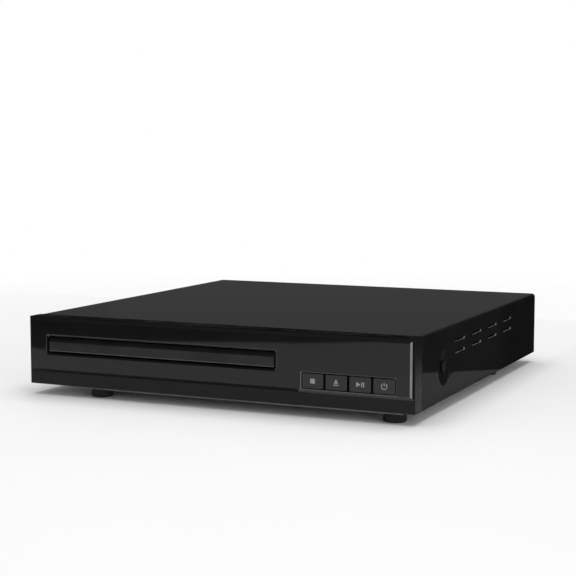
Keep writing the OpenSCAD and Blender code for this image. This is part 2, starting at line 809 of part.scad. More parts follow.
module loader_walls() {
  top = tab_low + tab_t;
  pad_low = tray_top - 1;
  rear_tab = loader_rear - 34;
  block([loader_left, loader_front, deck_z], [left_wall_x, loader_rear, top]);
  block([left_wall_x - bite, loader_front, ledge_top - ledge_t],
    [left_wall_x + left_tab + bite, loader_rear, ledge_top]);
  block([right_wall_x, side_rail_front, deck_z], [loader_right, loader_rear, top]);
  block([right_wall_x - ledge_w, side_rail_front, ledge_top - ledge_t],
    [right_wall_x + bite, loader_rear, ledge_top]);
  rail_tabs(left_wall_x - bite, left_wall_x + left_tab, [loader_front + 2, side_rail_front + 4, rear_tab]);
  rail_tabs(right_wall_x - right_tab, right_wall_x + bite, [side_rail_front + 4, rear_tab]);
  block([loader_left, loader_rear - 4, deck_z], [loader_right, loader_rear, ledge_top]);
  block([loader_left - bridge_pad, disc_y - bridge_pad_half, pad_low],
    [left_wall_x, disc_y + bridge_pad_half, bridge_z]);
  block([right_wall_x, disc_y - bridge_pad_half, pad_low],
    [loader_right + bridge_pad, disc_y + bridge_pad_half, bridge_z]);
  for (at = loader_ears) {
    if (at.x < 0) loader_ear(loader_left - ear_reach, loader_left + bite, at.y);
    else loader_ear(loader_right - bite, loader_right + ear_reach, at.y);
  }
}

module loader_deck() {
  deck_top = deck_z + deck_t;
  deck_right = tray_gear_x + large_gear_r + 3;
  channel_wall = 2;
  beam_rear = cam_y - cam_slack;
  beam_front = beam_rear - channel_wall;
  lip_front = cam_y + cam_t + cam_slack;
  lip_rear = lip_front + channel_wall;
  channel = lift_pin_x + cam_travel + 11;
  channel_floor = cam_low - 0.2;
  floor_low = channel_floor - 1.2;
  collar = 2;
  collar_top = deck_top + 0.3;
  stop_front = deck_front - 4;
  block([loader_left, deck_front, deck_z], [deck_right, beam_rear, deck_top]);
  block([loader_left, beam_front, deck_z - 4], [deck_right, beam_rear, deck_top]);
  block([right_wall_x, beam_front, deck_z], [loader_right, side_rail_front + bite, deck_top]);
  block([right_wall_x - ledge_w, stop_front, deck_z], [loader_right, deck_front + bite, ledge_top]);
  block([right_wall_x - 1, stop_front, deck_z], [loader_right, deck_front + bite, tab_low + tab_t]);
  block([-channel, beam_front, floor_low], [channel, beam_rear, deck_z]);
  block([-channel, beam_front, floor_low], [channel, lip_rear, channel_floor]);
  block([-channel, lip_front, floor_low], [channel, lip_rear, channel_floor + 1.2]);
  post([tray_gear_x, gear_y, deck_z], post_r, rack_z + rack_h + 0.4 - deck_z);
  post([tray_gear_x, gear_y, deck_z], post_r + collar, collar_top - deck_z);
  post([pulley_x, gear_y, deck_z], thin_post_r, pulley_z + pulley_h + 0.3 - deck_z);
  post([pulley_x, gear_y, deck_z], thin_post_r + collar, collar_top - deck_z);
  post([motor_x, gear_y, deck_z], motor_d / 2 + 1.8, motor_top + 0.8 - deck_z);
}

module pivot_lugs() {
  half = pivot_d / 2 + 2;
  high = pivot_z + half;
  block([left_wall_x - bite, pivot_y - half, deck_z], [traverse_left - lug_gap, pivot_y + half, high]);
  block([traverse_right + lug_gap, pivot_y - half, deck_z], [right_wall_x + bite, pivot_y + half, high]);
}

module loader_frame() {
  bore_r = pivot_d / 2 + running_gap;
  color([0.1, 0.1, 0.11]) in_loader() difference() {
    union() {
      loader_walls();
      loader_deck();
      pivot_lugs();
    }
    post([motor_x, gear_y, deck_z - cut], motor_d / 2 + running_gap, motor_top + 0.1 - deck_z + cut);
    post([motor_x, gear_y, deck_z], motor_boss_r + 0.4, pulley_z - deck_z);
    rod_x([traverse_left - pivot_l - 2, pivot_y, pivot_z], bore_r, pivot_l + 3);
    rod_x([traverse_right - 1, pivot_y, pivot_z], bore_r, pivot_l + 4);
    for (at = loader_ears) post([at.x, at.y, ear_z - cut], inner_screw_r + hole_play, 6);
    for (at = bridge_screws) post([at.x, at.y, bridge_z - 6], inner_screw_r, 8);
  }
}

module inner_screws() {
  shank_r = inner_screw_r - 0.02;
  color([0.7, 0.7, 0.72]) {
    in_loader() {
      for (at = loader_ears) translate([at.x, at.y, ear_z + ear_t]) screw(inner_head, shank_r, screw_l);
      for (at = bridge_screws) {
        translate([at.x, at.y, bridge_z + bridge_t]) screw(inner_head, shank_r, screw_l);
      }
    }
    placed() for (at = concat(main_screws, power_screws)) {
      translate([at.x, at.y, board_top]) screw(inner_head, shank_r, screw_l);
    }
  }
}

// The loader's board under its deck, with the plug of the flat cable
module loader_board() {
  low = loader_board_low;
  color([0.1, 0.35, 0.2]) in_loader() {
    block([left_wall_x + 7, deck_front + 2, low], [motor_x - motor_d / 2 - 4, gear_y + 11, low + board_t]);
    block([left_wall_x + 9, deck_front + 5, low - 2], [left_wall_x + 15, deck_front + 20, low]);
  }
}

module tray_switch() {
  x = left_wall_x + 12;
  low = deck_z + deck_t;
  color([0.15, 0.15, 0.15]) in_loader() {
    block([x, gear_y + 5, low], [x + 7, gear_y + 12, low + 4]);
    block([x + 3, gear_y + 7, low + 3], [x + 4, gear_y + 8.5, low + 6.5]);
  }
}

module loading_motor() {
  color([0.7, 0.7, 0.7]) in_loader() difference() {
    union() {
      post([motor_x, gear_y, motor_low], motor_d / 2, motor_top - motor_low);
      post([motor_x, gear_y, motor_low], motor_boss_r, motor_top + 0.7 - motor_low);
    }
    post([motor_x, gear_y, motor_low + 3], motor_shaft_r + running_gap, 14);
  }
}

// A grooved pulley whose flanges stand proud of its groove by the given rim
module grooved_pulley(groove_r, rim, height, flange) {
  cylinder(r = groove_r, h = height);
  cylinder(r = groove_r + rim, h = flange);
  translate([0, 0, height - flange]) cylinder(r = groove_r + rim, h = flange);
}

module motor_pulley() {
  color([0.85, 0.83, 0.75]) in_loader() {
    translate([motor_x, gear_y, pulley_z]) grooved_pulley(motor_groove_r, 0.9, pulley_h, 0.2);
    post([motor_x, gear_y, motor_low + 4], motor_shaft_r, pulley_z + 1 - motor_low - 4);
  }
}

module belt_loop(grow) {
  facets = 32;
  hull() {
    translate([motor_x, gear_y]) circle(r = motor_groove_r + grow, $fn = facets);
    translate([pulley_x, gear_y]) circle(r = pulley_groove_r + grow, $fn = facets);
  }
}

module loading_belt() {
  color([0.05, 0.05, 0.05]) in_loader() translate([0, 0, pulley_z + 0.25])
    linear_extrude(pulley_h - 0.5) difference() {
      belt_loop(1.1);
      belt_loop(0.1);
    }
}

module pulley_gear() {
  hub_r = pulley_pinion_r - 1.6 * gear_module;
  color([0.9, 0.88, 0.8]) in_loader() translate([pulley_x, gear_y, 0]) difference() {
    union() {
      translate([0, 0, gear_low_z]) rotate(180 / pulley_pinion_teeth)
        gear_layer(pulley_pinion_teeth, gear_module, gear_low_h);
      translate([0, 0, gear_low_z]) cylinder(r = hub_r, h = pulley_z + 1 - gear_low_z);
      translate([0, 0, pulley_z]) grooved_pulley(pulley_groove_r, 0.7, pulley_h, 0.2);
    }
    translate([0, 0, deck_z]) cylinder(r = thin_post_r + running_gap, h = 16);
  }
}

module tray_gear() {
  color([0.9, 0.9, 0.88]) in_loader() translate([tray_gear_x, gear_y, 0]) difference() {
    union() {
      translate([0, 0, gear_low_z]) gear_layer(large_gear_teeth, gear_module, gear_low_h);
      translate([0, 0, gear_low_z + 1]) cylinder(r = 6, h = rack_z + 1 - gear_low_z - 1);
      translate([0, 0, rack_z]) gear_layer(rack_gear_teeth, gear_module, rack_h);
    }
    translate([0, 0, deck_z]) cylinder(r = post_r + running_gap, h = 20);
  }
}

// Traverse

module cam_slider() {
  slot_r = lift_pin_d / 2 + cam_play;
  slope = atan2(lift_drop, cam_travel);
  slot_l = sqrt(lift_drop * lift_drop + cam_travel * cam_travel);
  color([0.85, 0.85, 0.82]) in_loader() difference() {
    block([-lift_pin_x - cam_travel - 5, cam_y, cam_low], [lift_pin_x + 5, cam_y + cam_t, cam_high]);
    for (x = [-lift_pin_x, lift_pin_x]) translate([x, cam_y + cam_t + cut, pivot_z]) rotate([90, 0, 0])
      linear_extrude(cam_t + 2 * cut) {
        circle(r = slot_r);
        translate([-cam_travel, -lift_drop]) circle(r = slot_r);
        rotate(180 + slope) translate([0, -slot_r]) square([slot_l, 2 * slot_r]);
      }
  }
}

module traverse_plate() {
  block([traverse_left, traverse_front, plate_z], [traverse_right, traverse_rear, plate_top]);
  pin_front = cam_y + 0.2;
  pin_boss = lift_pin_d / 2 + 1.5;
  boss = 5;
  holder_half = rod_d / 2 + 0.7;
  pivot_boss = pivot_d / 2 + 1;
  pivot_rise = 1.4;
  for (side = [-1, 1]) {
    pin_x = side * lift_pin_x;
    rod_y([pin_x, pin_front, pivot_z], lift_pin_d / 2, traverse_front + boss - 1 - pin_front);
    block([pin_x - pin_boss, traverse_front, plate_z - 1],
      [pin_x + pin_boss, traverse_front + boss, plate_top + 1]);
    for (y = [rod_front, rod_rear - boss]) {
      block([side * rod_x - holder_half, y, plate_top - bite],
        [side * rod_x + holder_half, y + boss, rod_z + holder_half - 0.1]);
    }
  }
  rod_x([traverse_left - pivot_l, pivot_y, pivot_z], pivot_d / 2, pivot_l + 2);
  rod_x([traverse_right - 2, pivot_y, pivot_z], pivot_d / 2, pivot_l + 2);
  block([traverse_left, pivot_y - pivot_boss, plate_z - pivot_rise],
    [traverse_left + boss, pivot_y + pivot_boss, plate_top + pivot_rise]);
  block([traverse_right - boss, pivot_y - pivot_boss, plate_z - pivot_rise],
    [traverse_right, pivot_y + pivot_boss, plate_top + pivot_rise]);
  post([sled_gear_x, sled_gear_y, plate_z - 0.4], sled_hub_r + 2, plate_t + 1);
}

module traverse_base() {
  color([0.12, 0.12, 0.13]) in_loader() difference() {
    traverse_plate();
    block([-window_half_x, window_front, plate_z - cut], [window_half_x, window_rear, plate_top + cut]);
    post([0, disc_y, plate_z - cut], 5, plate_t + 2 * cut);
    post([sled_gear_x, sled_gear_y, plate_z - 3], sled_hub_r + running_gap, 8);
    post([sled_motor_x, sled_motor_y, plate_z - cut], motor_shaft_r + 1.5, plate_t + 2 * cut);
    for (side = [-1, 1]) {
      rod_y([side * rod_x, rod_front - cut, rod_z], rod_d / 2 + rod_hold, rod_rear - rod_front + 2 * cut);
    }
  }
}

module guide_rods() {
  color([0.8, 0.82, 0.84]) in_loader() for (side = [-1, 1]) {
    rod_y([side * rod_x, rod_front, rod_z], rod_d / 2, rod_rear - rod_front);
  }
}

module spindle_motor() {
  stator_r = rotor_r - 1.6;
  color([0.5, 0.35, 0.15]) in_loader() difference() {
    union() {
      block([-13, disc_y - 13, plate_top], [13, disc_y + 9.5, plate_top + 0.5]);
      post([0, disc_y, plate_z + 0.1], 3, rotor_top - 1.2 - plate_z);
      post([0, disc_y, rotor_z + 0.3], stator_r, 2.6);
    }
    post([0, disc_y, plate_z - 0.5], spindle_shaft_r + running_gap, 12);
  }
}

module turntable() {
  skirt_t = 1;
  hub_r = 6;
  cone_foot = 0.5;
  color([0.12, 0.12, 0.12]) in_loader() translate([0, disc_y, 0]) {
    difference() {
      translate([0, 0, rotor_z]) cylinder(r = rotor_r, h = rotor_top - rotor_z);
      translate([0, 0, rotor_z - cut]) cylinder(r = rotor_r - skirt_t, h = rotor_top - rotor_z - 0.9 + cut);
    }
    translate([0, 0, plate_z + 0.3]) cylinder(r = spindle_shaft_r, h = rotor_top - plate_z - 0.5);
    translate([0, 0, rotor_top - bite]) cylinder(r = hub_r, h = flange_top - rotor_top);
    translate([0, 0, flange_top - flange_t]) cylinder(r = turntable_r, h = flange_t);
    translate([0, 0, flange_top - bite]) cylinder(r = spindle_cone_r, h = bite + cone_foot);
    translate([0, 0, flange_top + cone_foot])
      cylinder(r1 = spindle_cone_r, r2 = spindle_cone_r - 1.4, h = cone_h - cone_foot);
  }
}

module turntable_pad() {
  color([0.2, 0.2, 0.2]) in_loader() translate([0, disc_y, flange_top]) difference() {
    cylinder(r = turntable_r - 0.4, h = 0.3);
    translate([0, 0, -cut]) cylinder(r = spindle_cone_r + 1.8, h = 3);
  }
}

module pickup_sled() {
  bore_r = rod_d / 2 + running_gap;
  bush_out = rod_x + 2.5;
  bush_low = rod_z - 2;
  bush_high = rod_z + 2.1;
  side_x = rod_x - 2.7;
  block_x = window_half_x - 3;
  color([0.3, 0.3, 0.32]) in_loader() {
    difference() {
      union() {
        block([-side_x, sled_front, bush_low], [side_x, sled_rear, sled_top]);
        block([-block_x, sled_front + 1, plate_z - 1.6], [block_x, sled_rear - 1, bush_low + 1]);
        block([-bush_out, sled_front + 2, bush_low], [-side_x + 0.5, sled_rear - 2, bush_high]);
        block([side_x - 0.5, lens_y - 4, bush_low], [bush_out, lens_y + 4, bush_high]);
      }
      post([0, disc_y, plate_z - 3], rotor_r + 1.2, 14);
      for (side = [-1, 1]) rod_y([side * rod_x, sled_front - cut, rod_z], bore_r, 30);
      block([rod_x, lens_y - 6, rod_z - bore_r], [bush_out + cut, lens_y + 6, rod_z + bore_r]);
      post([0, lens_y, plate_z], 2.6, 12);
    }
    for (side = [-1, 1]) {
      magnet_x = side * 9.75;
      block([magnet_x - 1.25, lens_y - 6, sled_top - bite], [magnet_x + 1.25, lens_y + 6, sled_top + 2]);
    }
  }
}

module sled_rack() {
  end = 2.2;
  back = rack_bar_x - sled_rack_line;
  color([0.9, 0.9, 0.88]) in_loader() translate([sled_rack_line, sled_gear_y, sled_rack_z]) mirror([1, 0, 0])
    rack_layer(-sled_travel - end, end, sled_module, sled_rack_h, back);
}

module lens_holder() {
  low = sled_top + focus_gap;
  color([0.15, 0.15, 0.16]) in_loader() difference() {
    block([-6, lens_y - 7, low], [6, lens_y + 7, low + 1.8]);
    post([0, lens_y, low - cut], 2, 6);
  }
}

module objective_lens() {
  low = sled_top + focus_gap + 1.8;
  color([0.6, 0.75, 0.95]) in_loader() {
    post([0, lens_y, low], 2.5, 0.4);
    post([0, lens_y, low], 2, 0.7);
  }
}

module sled_motor() {
  color([0.72, 0.72, 0.72]) in_loader() difference() {
    post([sled_motor_x, sled_motor_y, plate_top], sled_motor_r, 5.2);
    post([sled_motor_x, sled_motor_y, plate_top - cut], motor_shaft_r + running_gap, 5);
  }
}

module sled_pinion() {
  color([0.85, 0.8, 0.6]) in_loader() translate([sled_motor_x, sled_motor_y, 0]) {
    translate([0, 0, sled_low_z]) rotate(sled_turn + 180 + 180 / sled_pinion_teeth)
      gear_layer(sled_pinion_teeth, sled_module, sled_low_h);
    translate([0, 0, sled_low_z + 0.5]) cylinder(r = motor_shaft_r, h = plate_top + 3 - sled_low_z);
  }
}

module sled_gear() {
  color([0.92, 0.92, 0.9]) in_loader() translate([sled_gear_x, sled_gear_y, 0]) {
    translate([0, 0, sled_low_z]) rotate(sled_turn) gear_layer(sled_large_teeth, sled_module, sled_low_h);
    translate([0, 0, sled_low_z]) cylinder(r = sled_hub_r, h = sled_rack_z + sled_rack_h - sled_low_z);
    translate([0, 0, sled_rack_z]) gear_layer(sled_small_teeth, sled_module, sled_rack_h);
  }
}

module clamp_bridge() {
  left = loader_left - bridge_pad;
  right = loader_right + bridge_pad;
  front = disc_y - bridge_half;
  rear = disc_y + bridge_half;
  color([0.7, 0.72, 0.73]) in_loader() difference() {
    union() {
      block([left, front, bridge_z], [right, rear, bridge_z + bridge_t]);
      for (y = [front, rear - bridge_t]) block([left, y, bridge_z], [right, y + bridge_t, bridge_z + 3]);
    }
    post([0, disc_y, bridge_z - cut], clamper_r + 1, bridge_t + 2 * cut);
    for (at = bridge_screws) post([at.x, at.y, bridge_z - cut], inner_screw_r + hole_play, 4);
  }
}

module clamper() {
  color([0.1, 0.1, 0.1]) in_loader() translate([0, disc_y, 0]) difference() {
    union() {
      translate([0, 0, clamper_low]) cylinder(r = clamper_r, h = clamper_top - clamper_low);
      translate([0, 0, clamper_top - 1]) cylinder(r = clamper_r + 4, h = 1);
    }
    translate([0, 0, clamper_low - cut]) cylinder(r = spindle_cone_r + 0.4, h = 1.8 + cut);
    translate([0, 0, clamper_low + 2.4]) cylinder(r = magnet_r + 0.05, h = 8);
  }
}

module clamper_magnet() {
  color([0.4, 0.4, 0.42]) in_loader() post([0, disc_y, clamper_low + 2.4], magnet_r, 2.4);
}

// Keys

module key(i) {
  x = key_places[i];
  flange_side = 0.4;
  flange_rise = 0.7;
  color([0.17, 0.17, 0.18]) placed() {
    upright_slab(x, keys_z, key_in, [key_w, key_h], 0.8, key_flange_y + key_flange_t - key_in);
    block([x - key_w / 2 - flange_side, key_flange_y, keys_z - window_h / 2 - flange_rise],
      [x + key_w / 2 + flange_side, key_flange_y + key_flange_t, keys_z + window_h / 2 + flange_rise]);
    rod_y([x, key_flange_y, keys_z], key_stem_r, key_stem_end - key_flange_y);
  }
}

module plunger(i) {
  color([0.1, 0.1, 0.1]) placed()
    rod_y([key_places[i], key_stem_end, keys_z], plunger_r, switch_play + plunger_in);
}

module button_stop() {
  key(0);
}

module button_eject() {
  key(1);
}

module button_play_pause() {
  key(2);
}

module button_power() {
  key(3);
}

module plunger_stop() {
  plunger(0);
}

module plunger_eject() {
  plunger(1);
}

module plunger_play_pause() {
  plunger(2);
}

module plunger_power() {
  plunger(3);
}

module button_carrier() {
  side = window_w / 2 + 5;
  low = keys_z - 6.5;
  high = keys_z + 6.5;
  color([0.12, 0.12, 0.13]) placed() difference() {
    union() {
      block([keys_x - side, carrier_y, low], [keys_x + side, carrier_y + carrier_t, high]);
      for (x = [keys_x - side, keys_x + side - 2]) {
        block([x, plate_y + seam, low], [x + 2, front_board_y, high]);
      }
    }
    for (x = key_places) rod_y([x, carrier_y - cut, keys_z], key_stem_r + running_gap, carrier_t + 2 * cut);
  }
}

module tact_switches() {
  front = front_board_y - switch_h;
  half = switch_w / 2;
  bore_l = plunger_in + key_travel + 0.2;
  color([0.2, 0.2, 0.2]) placed() for (x = key_places) difference() {
    block([x - half, front, keys_z - half], [x + half, front_board_y, keys_z + half]);
    rod_y([x, front - cut, keys_z], plunger_r + running_gap, bore_l + cut);
  }
}

module front_pcb() {
  color([0.1, 0.35, 0.2]) placed()
    block([keys_x - window_w / 2 - 6, front_board_y, front_board_low],
      [half_w - panel_wall - 1.2, front_board_y + board_t, front_board_high]);
}

module ir_receiver() {
  x = keys_x - 18;
  z = keys_z + 14;
  color([0.15, 0.1, 0.1]) placed() {
    block([x - 3, front_board_y - 5, z - 3.5], [x + 3, front_board_y, z + 3.5]);
    rod_y([x, front_board_y - 6.4, z], 2.4, 2);
  }
}

// Rear boards

module board_with_holes(left, right, front, rear, screws) {
  difference() {
    block([left, front, board_z], [right, rear, board_top]);
    for (at = screws) post([at.x, at.y, board_z - cut], inner_screw_r + hole_play, board_t + 2 * cut);
  }
}

module main_board() {
  color([0.1, 0.35, 0.2]) placed()
    board_with_holes(main_left, main_right, main_front, main_rear, main_screws);
}

module main_chips() {
  top = board_top;
  middle = main_front + 16;
  color([0.12, 0.12, 0.13]) placed() {
    block([tray_x - 22, middle - 9, top], [tray_x - 2, middle + 9, top + 1.4]);
    block([tray_x - 42, middle - 9, top], [tray_x - 32, middle + 9, top + 1.2]);
    block([tray_x + 8, middle - 6, top], [tray_x + 20, middle + 4, top + 1.2]);
    for (i = [0 : 3]) post([tray_x + 28 + i * 9, middle - 2, top], 3.2, 7);
  }
}

module digital_socket() {
  half = digital_w / 2;
  low = digital_z - digital_h / 2;
  high = digital_z + digital_h / 2;
  back = rear_y + sheet_t + 0.2;
  color([0.75, 0.75, 0.76]) placed() {
    difference() {
      block([digital_x - half - socket_wall, back - 12, low - socket_wall],
        [digital_x + half + socket_wall, back, high + socket_wall]);
      block([digital_x - half, back - 9, low], [digital_x + half, back + cut, high]);
    }
    block([digital_x - half + 2, back - 10, digital_z - socket_wall],
      [digital_x + half - 2, back - 1, digital_z + socket_wall]);
  }
}

// The moulded body of the round sockets, with a collar around each that reaches out through the rear panel
module av_jack_body() {
  depth = 12;
  half = jack_pitch / 2;
  color([0.1, 0.1, 0.1]) placed() difference() {
    union() {
      block([jack_places[0] - half, rear_y - depth, board_top],
        [jack_places[jack_count - 1] + half, rear_y - seam, jack_z + 7]);
      for (x = jack_places) rod_y([x, rear_y - 1, jack_z], jack_collar_r, jack_collar_end - rear_y + 1);
    }
    for (x = jack_places) rod_y([x, jack_front, jack_z], jack_base_r + 0.02, 6);
  }
}

// Metal shells, a little slimmer where the body holds them
module jack_shells() {
  color([0.8, 0.78, 0.7]) placed() for (x = jack_places) difference() {
    union() {
      rod_y([x, jack_front, jack_z], jack_base_r, jack_free_y - jack_front);
      rod_y([x, jack_free_y, jack_z], jack_r, overall_d - jack_free_y);
    }
    rod_y([x, jack_front - cut, jack_z], jack_r - jack_shell_t, overall_d - jack_front + 2 * cut);
  }
}

module jack_inserts() {
  color([0.85, 0.7, 0.1]) placed() for (x = jack_places) difference() {
    rod_y([x, jack_front, jack_z], jack_r - jack_shell_t - 0.02, overall_d - jack_front - 0.6);
    rod_y([x, jack_front + 1, jack_z], jack_bore_r, overall_d - jack_front);
  }
}

module power_board() {
  color([0.55, 0.42, 0.2]) placed()
    board_with_holes(power_left, power_right, power_front, main_rear, power_screws);
}

module power_parts() {
  top = board_top;
  middle = (power_left + power_right) / 2;
  color([0.2, 0.2, 0.22]) placed() {
    block([middle - 11, power_front + 60, top], [middle + 11, power_front + 78, top + 17]);
    post([middle + 4, power_front + 105, top], 8, 22);
    block([middle - 18, power_front + 96, top], [middle - 8, power_front + 112, top + 14]);
    for (i = [0 : 2]) post([middle - 8 + i * 11, power_front + 30, top], 4, 12);
    block([middle - 16, power_front + 44, top], [middle + 16, power_front + 46, top + 20]);
    for (i = [0 : 3]) {
      fin_x = middle - 16 + i * 10;
      block([fin_x, power_front + 45.5, top], [fin_x + 2, power_front + 52, top + 20]);
    }
    rod_y([middle - 14, power_front + 120, top + 2.6], 2.6, 20);
  }
}

module mains_inlet() {
  back = inlet_back;
  half = inlet_w / 2;
  tall = inlet_h / 2;
  rim = 1.5;
  color([0.06, 0.06, 0.06]) placed() difference() {
    union() {
      block([inlet_x - half, back - inlet_depth, inlet_z - tall], [inlet_x + half, back, inlet_z + tall]);
      block([inlet_x - half - rim, rear_y + sheet_t, inlet_z - tall - rim],
        [inlet_x + half + rim, back, inlet_z + tall + rim]);
    }
    upright_slab(inlet_x, inlet_z, back - cavity_depth, [cavity_w, cavity_h], cavity_h / 2 - 0.1,
      cavity_depth + cut);
    for (side = [-1, 1]) {
      pin_x = inlet_x + side * inlet_pitch / 2;
      rod_y([pin_x, inlet_pin_front, inlet_z], inlet_pin_root_r + 0.02, inlet_depth);
    }
  }
}

// The pins that the mains plug goes over, slimmer where the inlet holds them
module inlet_pins() {
  free_y = inlet_back - cavity_depth + 0.4;
  end = inlet_pin_front + inlet_depth - 4;
  color([0.8, 0.8, 0.8]) placed() for (side = [-1, 1]) {
    pin_x = inlet_x + side * inlet_pitch / 2;
    rod_y([pin_x, inlet_pin_front, inlet_z], inlet_pin_root_r, free_y - inlet_pin_front);
    rod_y([pin_x, free_y, inlet_z], inlet_pin_d / 2, end - free_y);
  }
}

// Flat cables along the chassis floor, from the loader, the keys and the power board to the main board
module signal_cables() {
  t = 0.4;
  low = sheet_t + 0.3;
  width = 8;
  loader_x = tray_x + left_wall_x + 2.5;
  plug_low = loader_board_low - 2;
  run_front = deck_front + 7;
  run_rear = main_front + 8;
  key_run_x = keys_x - window_w / 2 - 4;
  key_run_front = front_board_y + board_t;
  key_in_x = main_right - 10;
  key_run_rear = main_front + 18;
  power_y = main_front + 22;
  color([0.75, 0.75, 0.72]) placed() {
    block([loader_x, run_front, plug_low - t], [loader_x + width + 4, run_front + width, plug_low]);
    block([loader_x, run_front, low], [loader_x + t, run_front + width, plug_low]);
    block([loader_x, run_front, low], [loader_x + width, run_rear, low + t]);
    block([loader_x, run_rear - t, low], [loader_x + width, run_rear, board_z]);
    block([key_run_x, key_run_front, low], [key_run_x + width, key_run_front + t, low + 12]);
    block([key_run_x, key_run_front, low], [key_run_x + width, key_run_rear, low + t]);
    block([key_in_x, key_run_rear - width, low], [key_run_x + width, key_run_rear, low + t]);
    block([key_in_x, key_run_rear - width, low], [key_in_x + t, key_run_rear, board_z]);
    block([main_right - 6, power_y, board_top], [power_left + 6, power_y + 6, board_top + 0.6]);
  }
}

front_panel();
top_cover();
bottom_chassis();
chassis_standoffs();
rear_panel();
foot_front_left();
foot_front_right();
foot_rear_left();
foot_rear_right();
cover_screws();
tray_door();
disc_tray();
loader_frame();
inner_screws();
loader_board();
tray_switch();
loading_motor();
motor_pulley();
loading_belt();
pulley_gear();
tray_gear();
cam_slider();
traverse_base();
guide_rods();
spindle_motor();
turntable();
turntable_pad();
pickup_sled();
sled_rack();
lens_holder();
objective_lens();
sled_motor();
sled_pinion();
sled_gear();
clamp_bridge();
clamper();
clamper_magnet();
button_stop();
button_eject();
button_play_pause();
button_power();
plunger_stop();
plunger_eject();
plunger_play_pause();
plunger_power();
button_carrier();
tact_switches();
front_pcb();
ir_receiver();
main_board();
main_chips();
digital_socket();
av_jack_body();
jack_shells();
jack_inserts();
power_board();
power_parts();
mains_inlet();
inlet_pins();
signal_cables();
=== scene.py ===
# %% [markdown]
# # A slim disc player in gloss black
# The imported CAD model is the fixed frame of this scene: every panel, gear and screw already has its
# size and its place. Blender adds what CAD leaves out: rounded edges, printed marks and surfaces
# with grain, polish and wear. The imported model is loaded first.

# %% Load the imported player
import json
import math

import bmesh
import bpy
from mathutils import Matrix, Vector


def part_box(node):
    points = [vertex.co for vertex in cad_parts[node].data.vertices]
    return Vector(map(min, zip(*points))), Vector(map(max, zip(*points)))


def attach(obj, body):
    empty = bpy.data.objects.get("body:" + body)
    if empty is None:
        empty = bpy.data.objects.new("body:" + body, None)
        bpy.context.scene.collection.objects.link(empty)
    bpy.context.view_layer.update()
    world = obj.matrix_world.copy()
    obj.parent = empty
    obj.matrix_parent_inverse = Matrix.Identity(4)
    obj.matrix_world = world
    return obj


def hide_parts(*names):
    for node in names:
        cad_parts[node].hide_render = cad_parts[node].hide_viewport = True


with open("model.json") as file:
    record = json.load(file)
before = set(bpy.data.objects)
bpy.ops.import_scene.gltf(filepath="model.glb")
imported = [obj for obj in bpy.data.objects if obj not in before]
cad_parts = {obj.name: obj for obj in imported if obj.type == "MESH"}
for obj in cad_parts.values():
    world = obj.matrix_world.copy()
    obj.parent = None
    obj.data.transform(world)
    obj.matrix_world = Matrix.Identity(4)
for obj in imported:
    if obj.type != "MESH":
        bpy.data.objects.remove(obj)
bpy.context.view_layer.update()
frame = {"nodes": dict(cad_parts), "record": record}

# %% [markdown]
# ## Working in the maker's millimetres
# The case was drawn in millimetres, with the front face at Y 0 and the case floor at Z 0. The frame
# is in metres, with the middle of the footprint at the origin and the feet on the ground. New pieces
# are drawn in the case's millimetres, whose numbers are easy to read, and each is moved into the
# frame as its last step. Its object stays at the origin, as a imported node's does.

# %% The two sets of measures
MM = 0.001
CASE_SHIFT = Vector((0, -120, 6))


def in_frame(x, y, z):
    """A point of the case in millimetres, as a point of the frame in metres."""
    return (Vector((x, y, z)) + CASE_SHIFT) * MM


print("front left corner in metres:", [round(v, 4) for v in in_frame(-112.5, 0, 0)])

# %% [markdown]
# ## The camera
# The viewpoint was worked out from the corners of the case in the picture. The edges of its front
# and its side run to two vanishing points, which give the turn and the tilt, and the known width
# gives the distance. A long lens keeps the flat look of a catalogue picture.

# %% Set the camera
TILT_DOWN, TURN = 5.829, 24.475
lens = bpy.data.cameras.new("catalogue_lens")
lens.lens = 86.12
lens.sensor_width = 36
camera = bpy.data.objects.new("catalogue_camera", lens)
bpy.context.scene.collection.objects.link(camera)
camera.location = (0.33096, -0.74786, 0.13619)
camera.rotation_euler = (math.radians(90 - TILT_DOWN), 0, math.radians(TURN))
bpy.context.scene.camera = camera
print("camera stands", round(camera.location.length, 3), "m from the origin")

# %% [markdown]
# ## Shader sums as plain Python
# A surface is never the same all over, so its colour and roughness are sums of patterns. In Math
# nodes linked by hand, one for each sign, the sum can't be read any more. Here a Reading wraps one
# number of the surface, and adding or multiplying readings makes the Math nodes. One method makes
# every other node: its settings go in first, because they decide its sockets.


# %% A reading of the surface, and a book of nodes
class Reading:
    """One number at every point of a surface. Sums of readings become Math nodes."""

    def __init__(self, wiring, socket):
        self.wiring, self.socket = wiring, socket

    def maths(self, operation, first, second, clamp=False):
        settings = {"operation": operation, "use_clamp": clamp}
        made = self.wiring.node("ShaderNodeMath", {0: first, 1: second}, settings)
        return Reading(self.wiring, made.outputs[0])

    def __add__(self, other):
        return self.maths("ADD", self, other)

    def __radd__(self, other):
        return self.maths("ADD", other, self)

    def __sub__(self, other):
        return self.maths("SUBTRACT", self, other)

    def __rsub__(self, other):
        return self.maths("SUBTRACT", other, self)

    def __mul__(self, other):
        return self.maths("MULTIPLY", self, other)

    def __rmul__(self, other):
        return self.maths("MULTIPLY", other, self)

    def __truediv__(self, other):
        return self.maths("DIVIDE", self, other)

    def __abs__(self):
        return self.maths("ABSOLUTE", self, 0.0)

    def clipped(self):
        """The same number, held between 0 and 1."""
        return self.maths("ADD", self, 0.0, clamp=True)


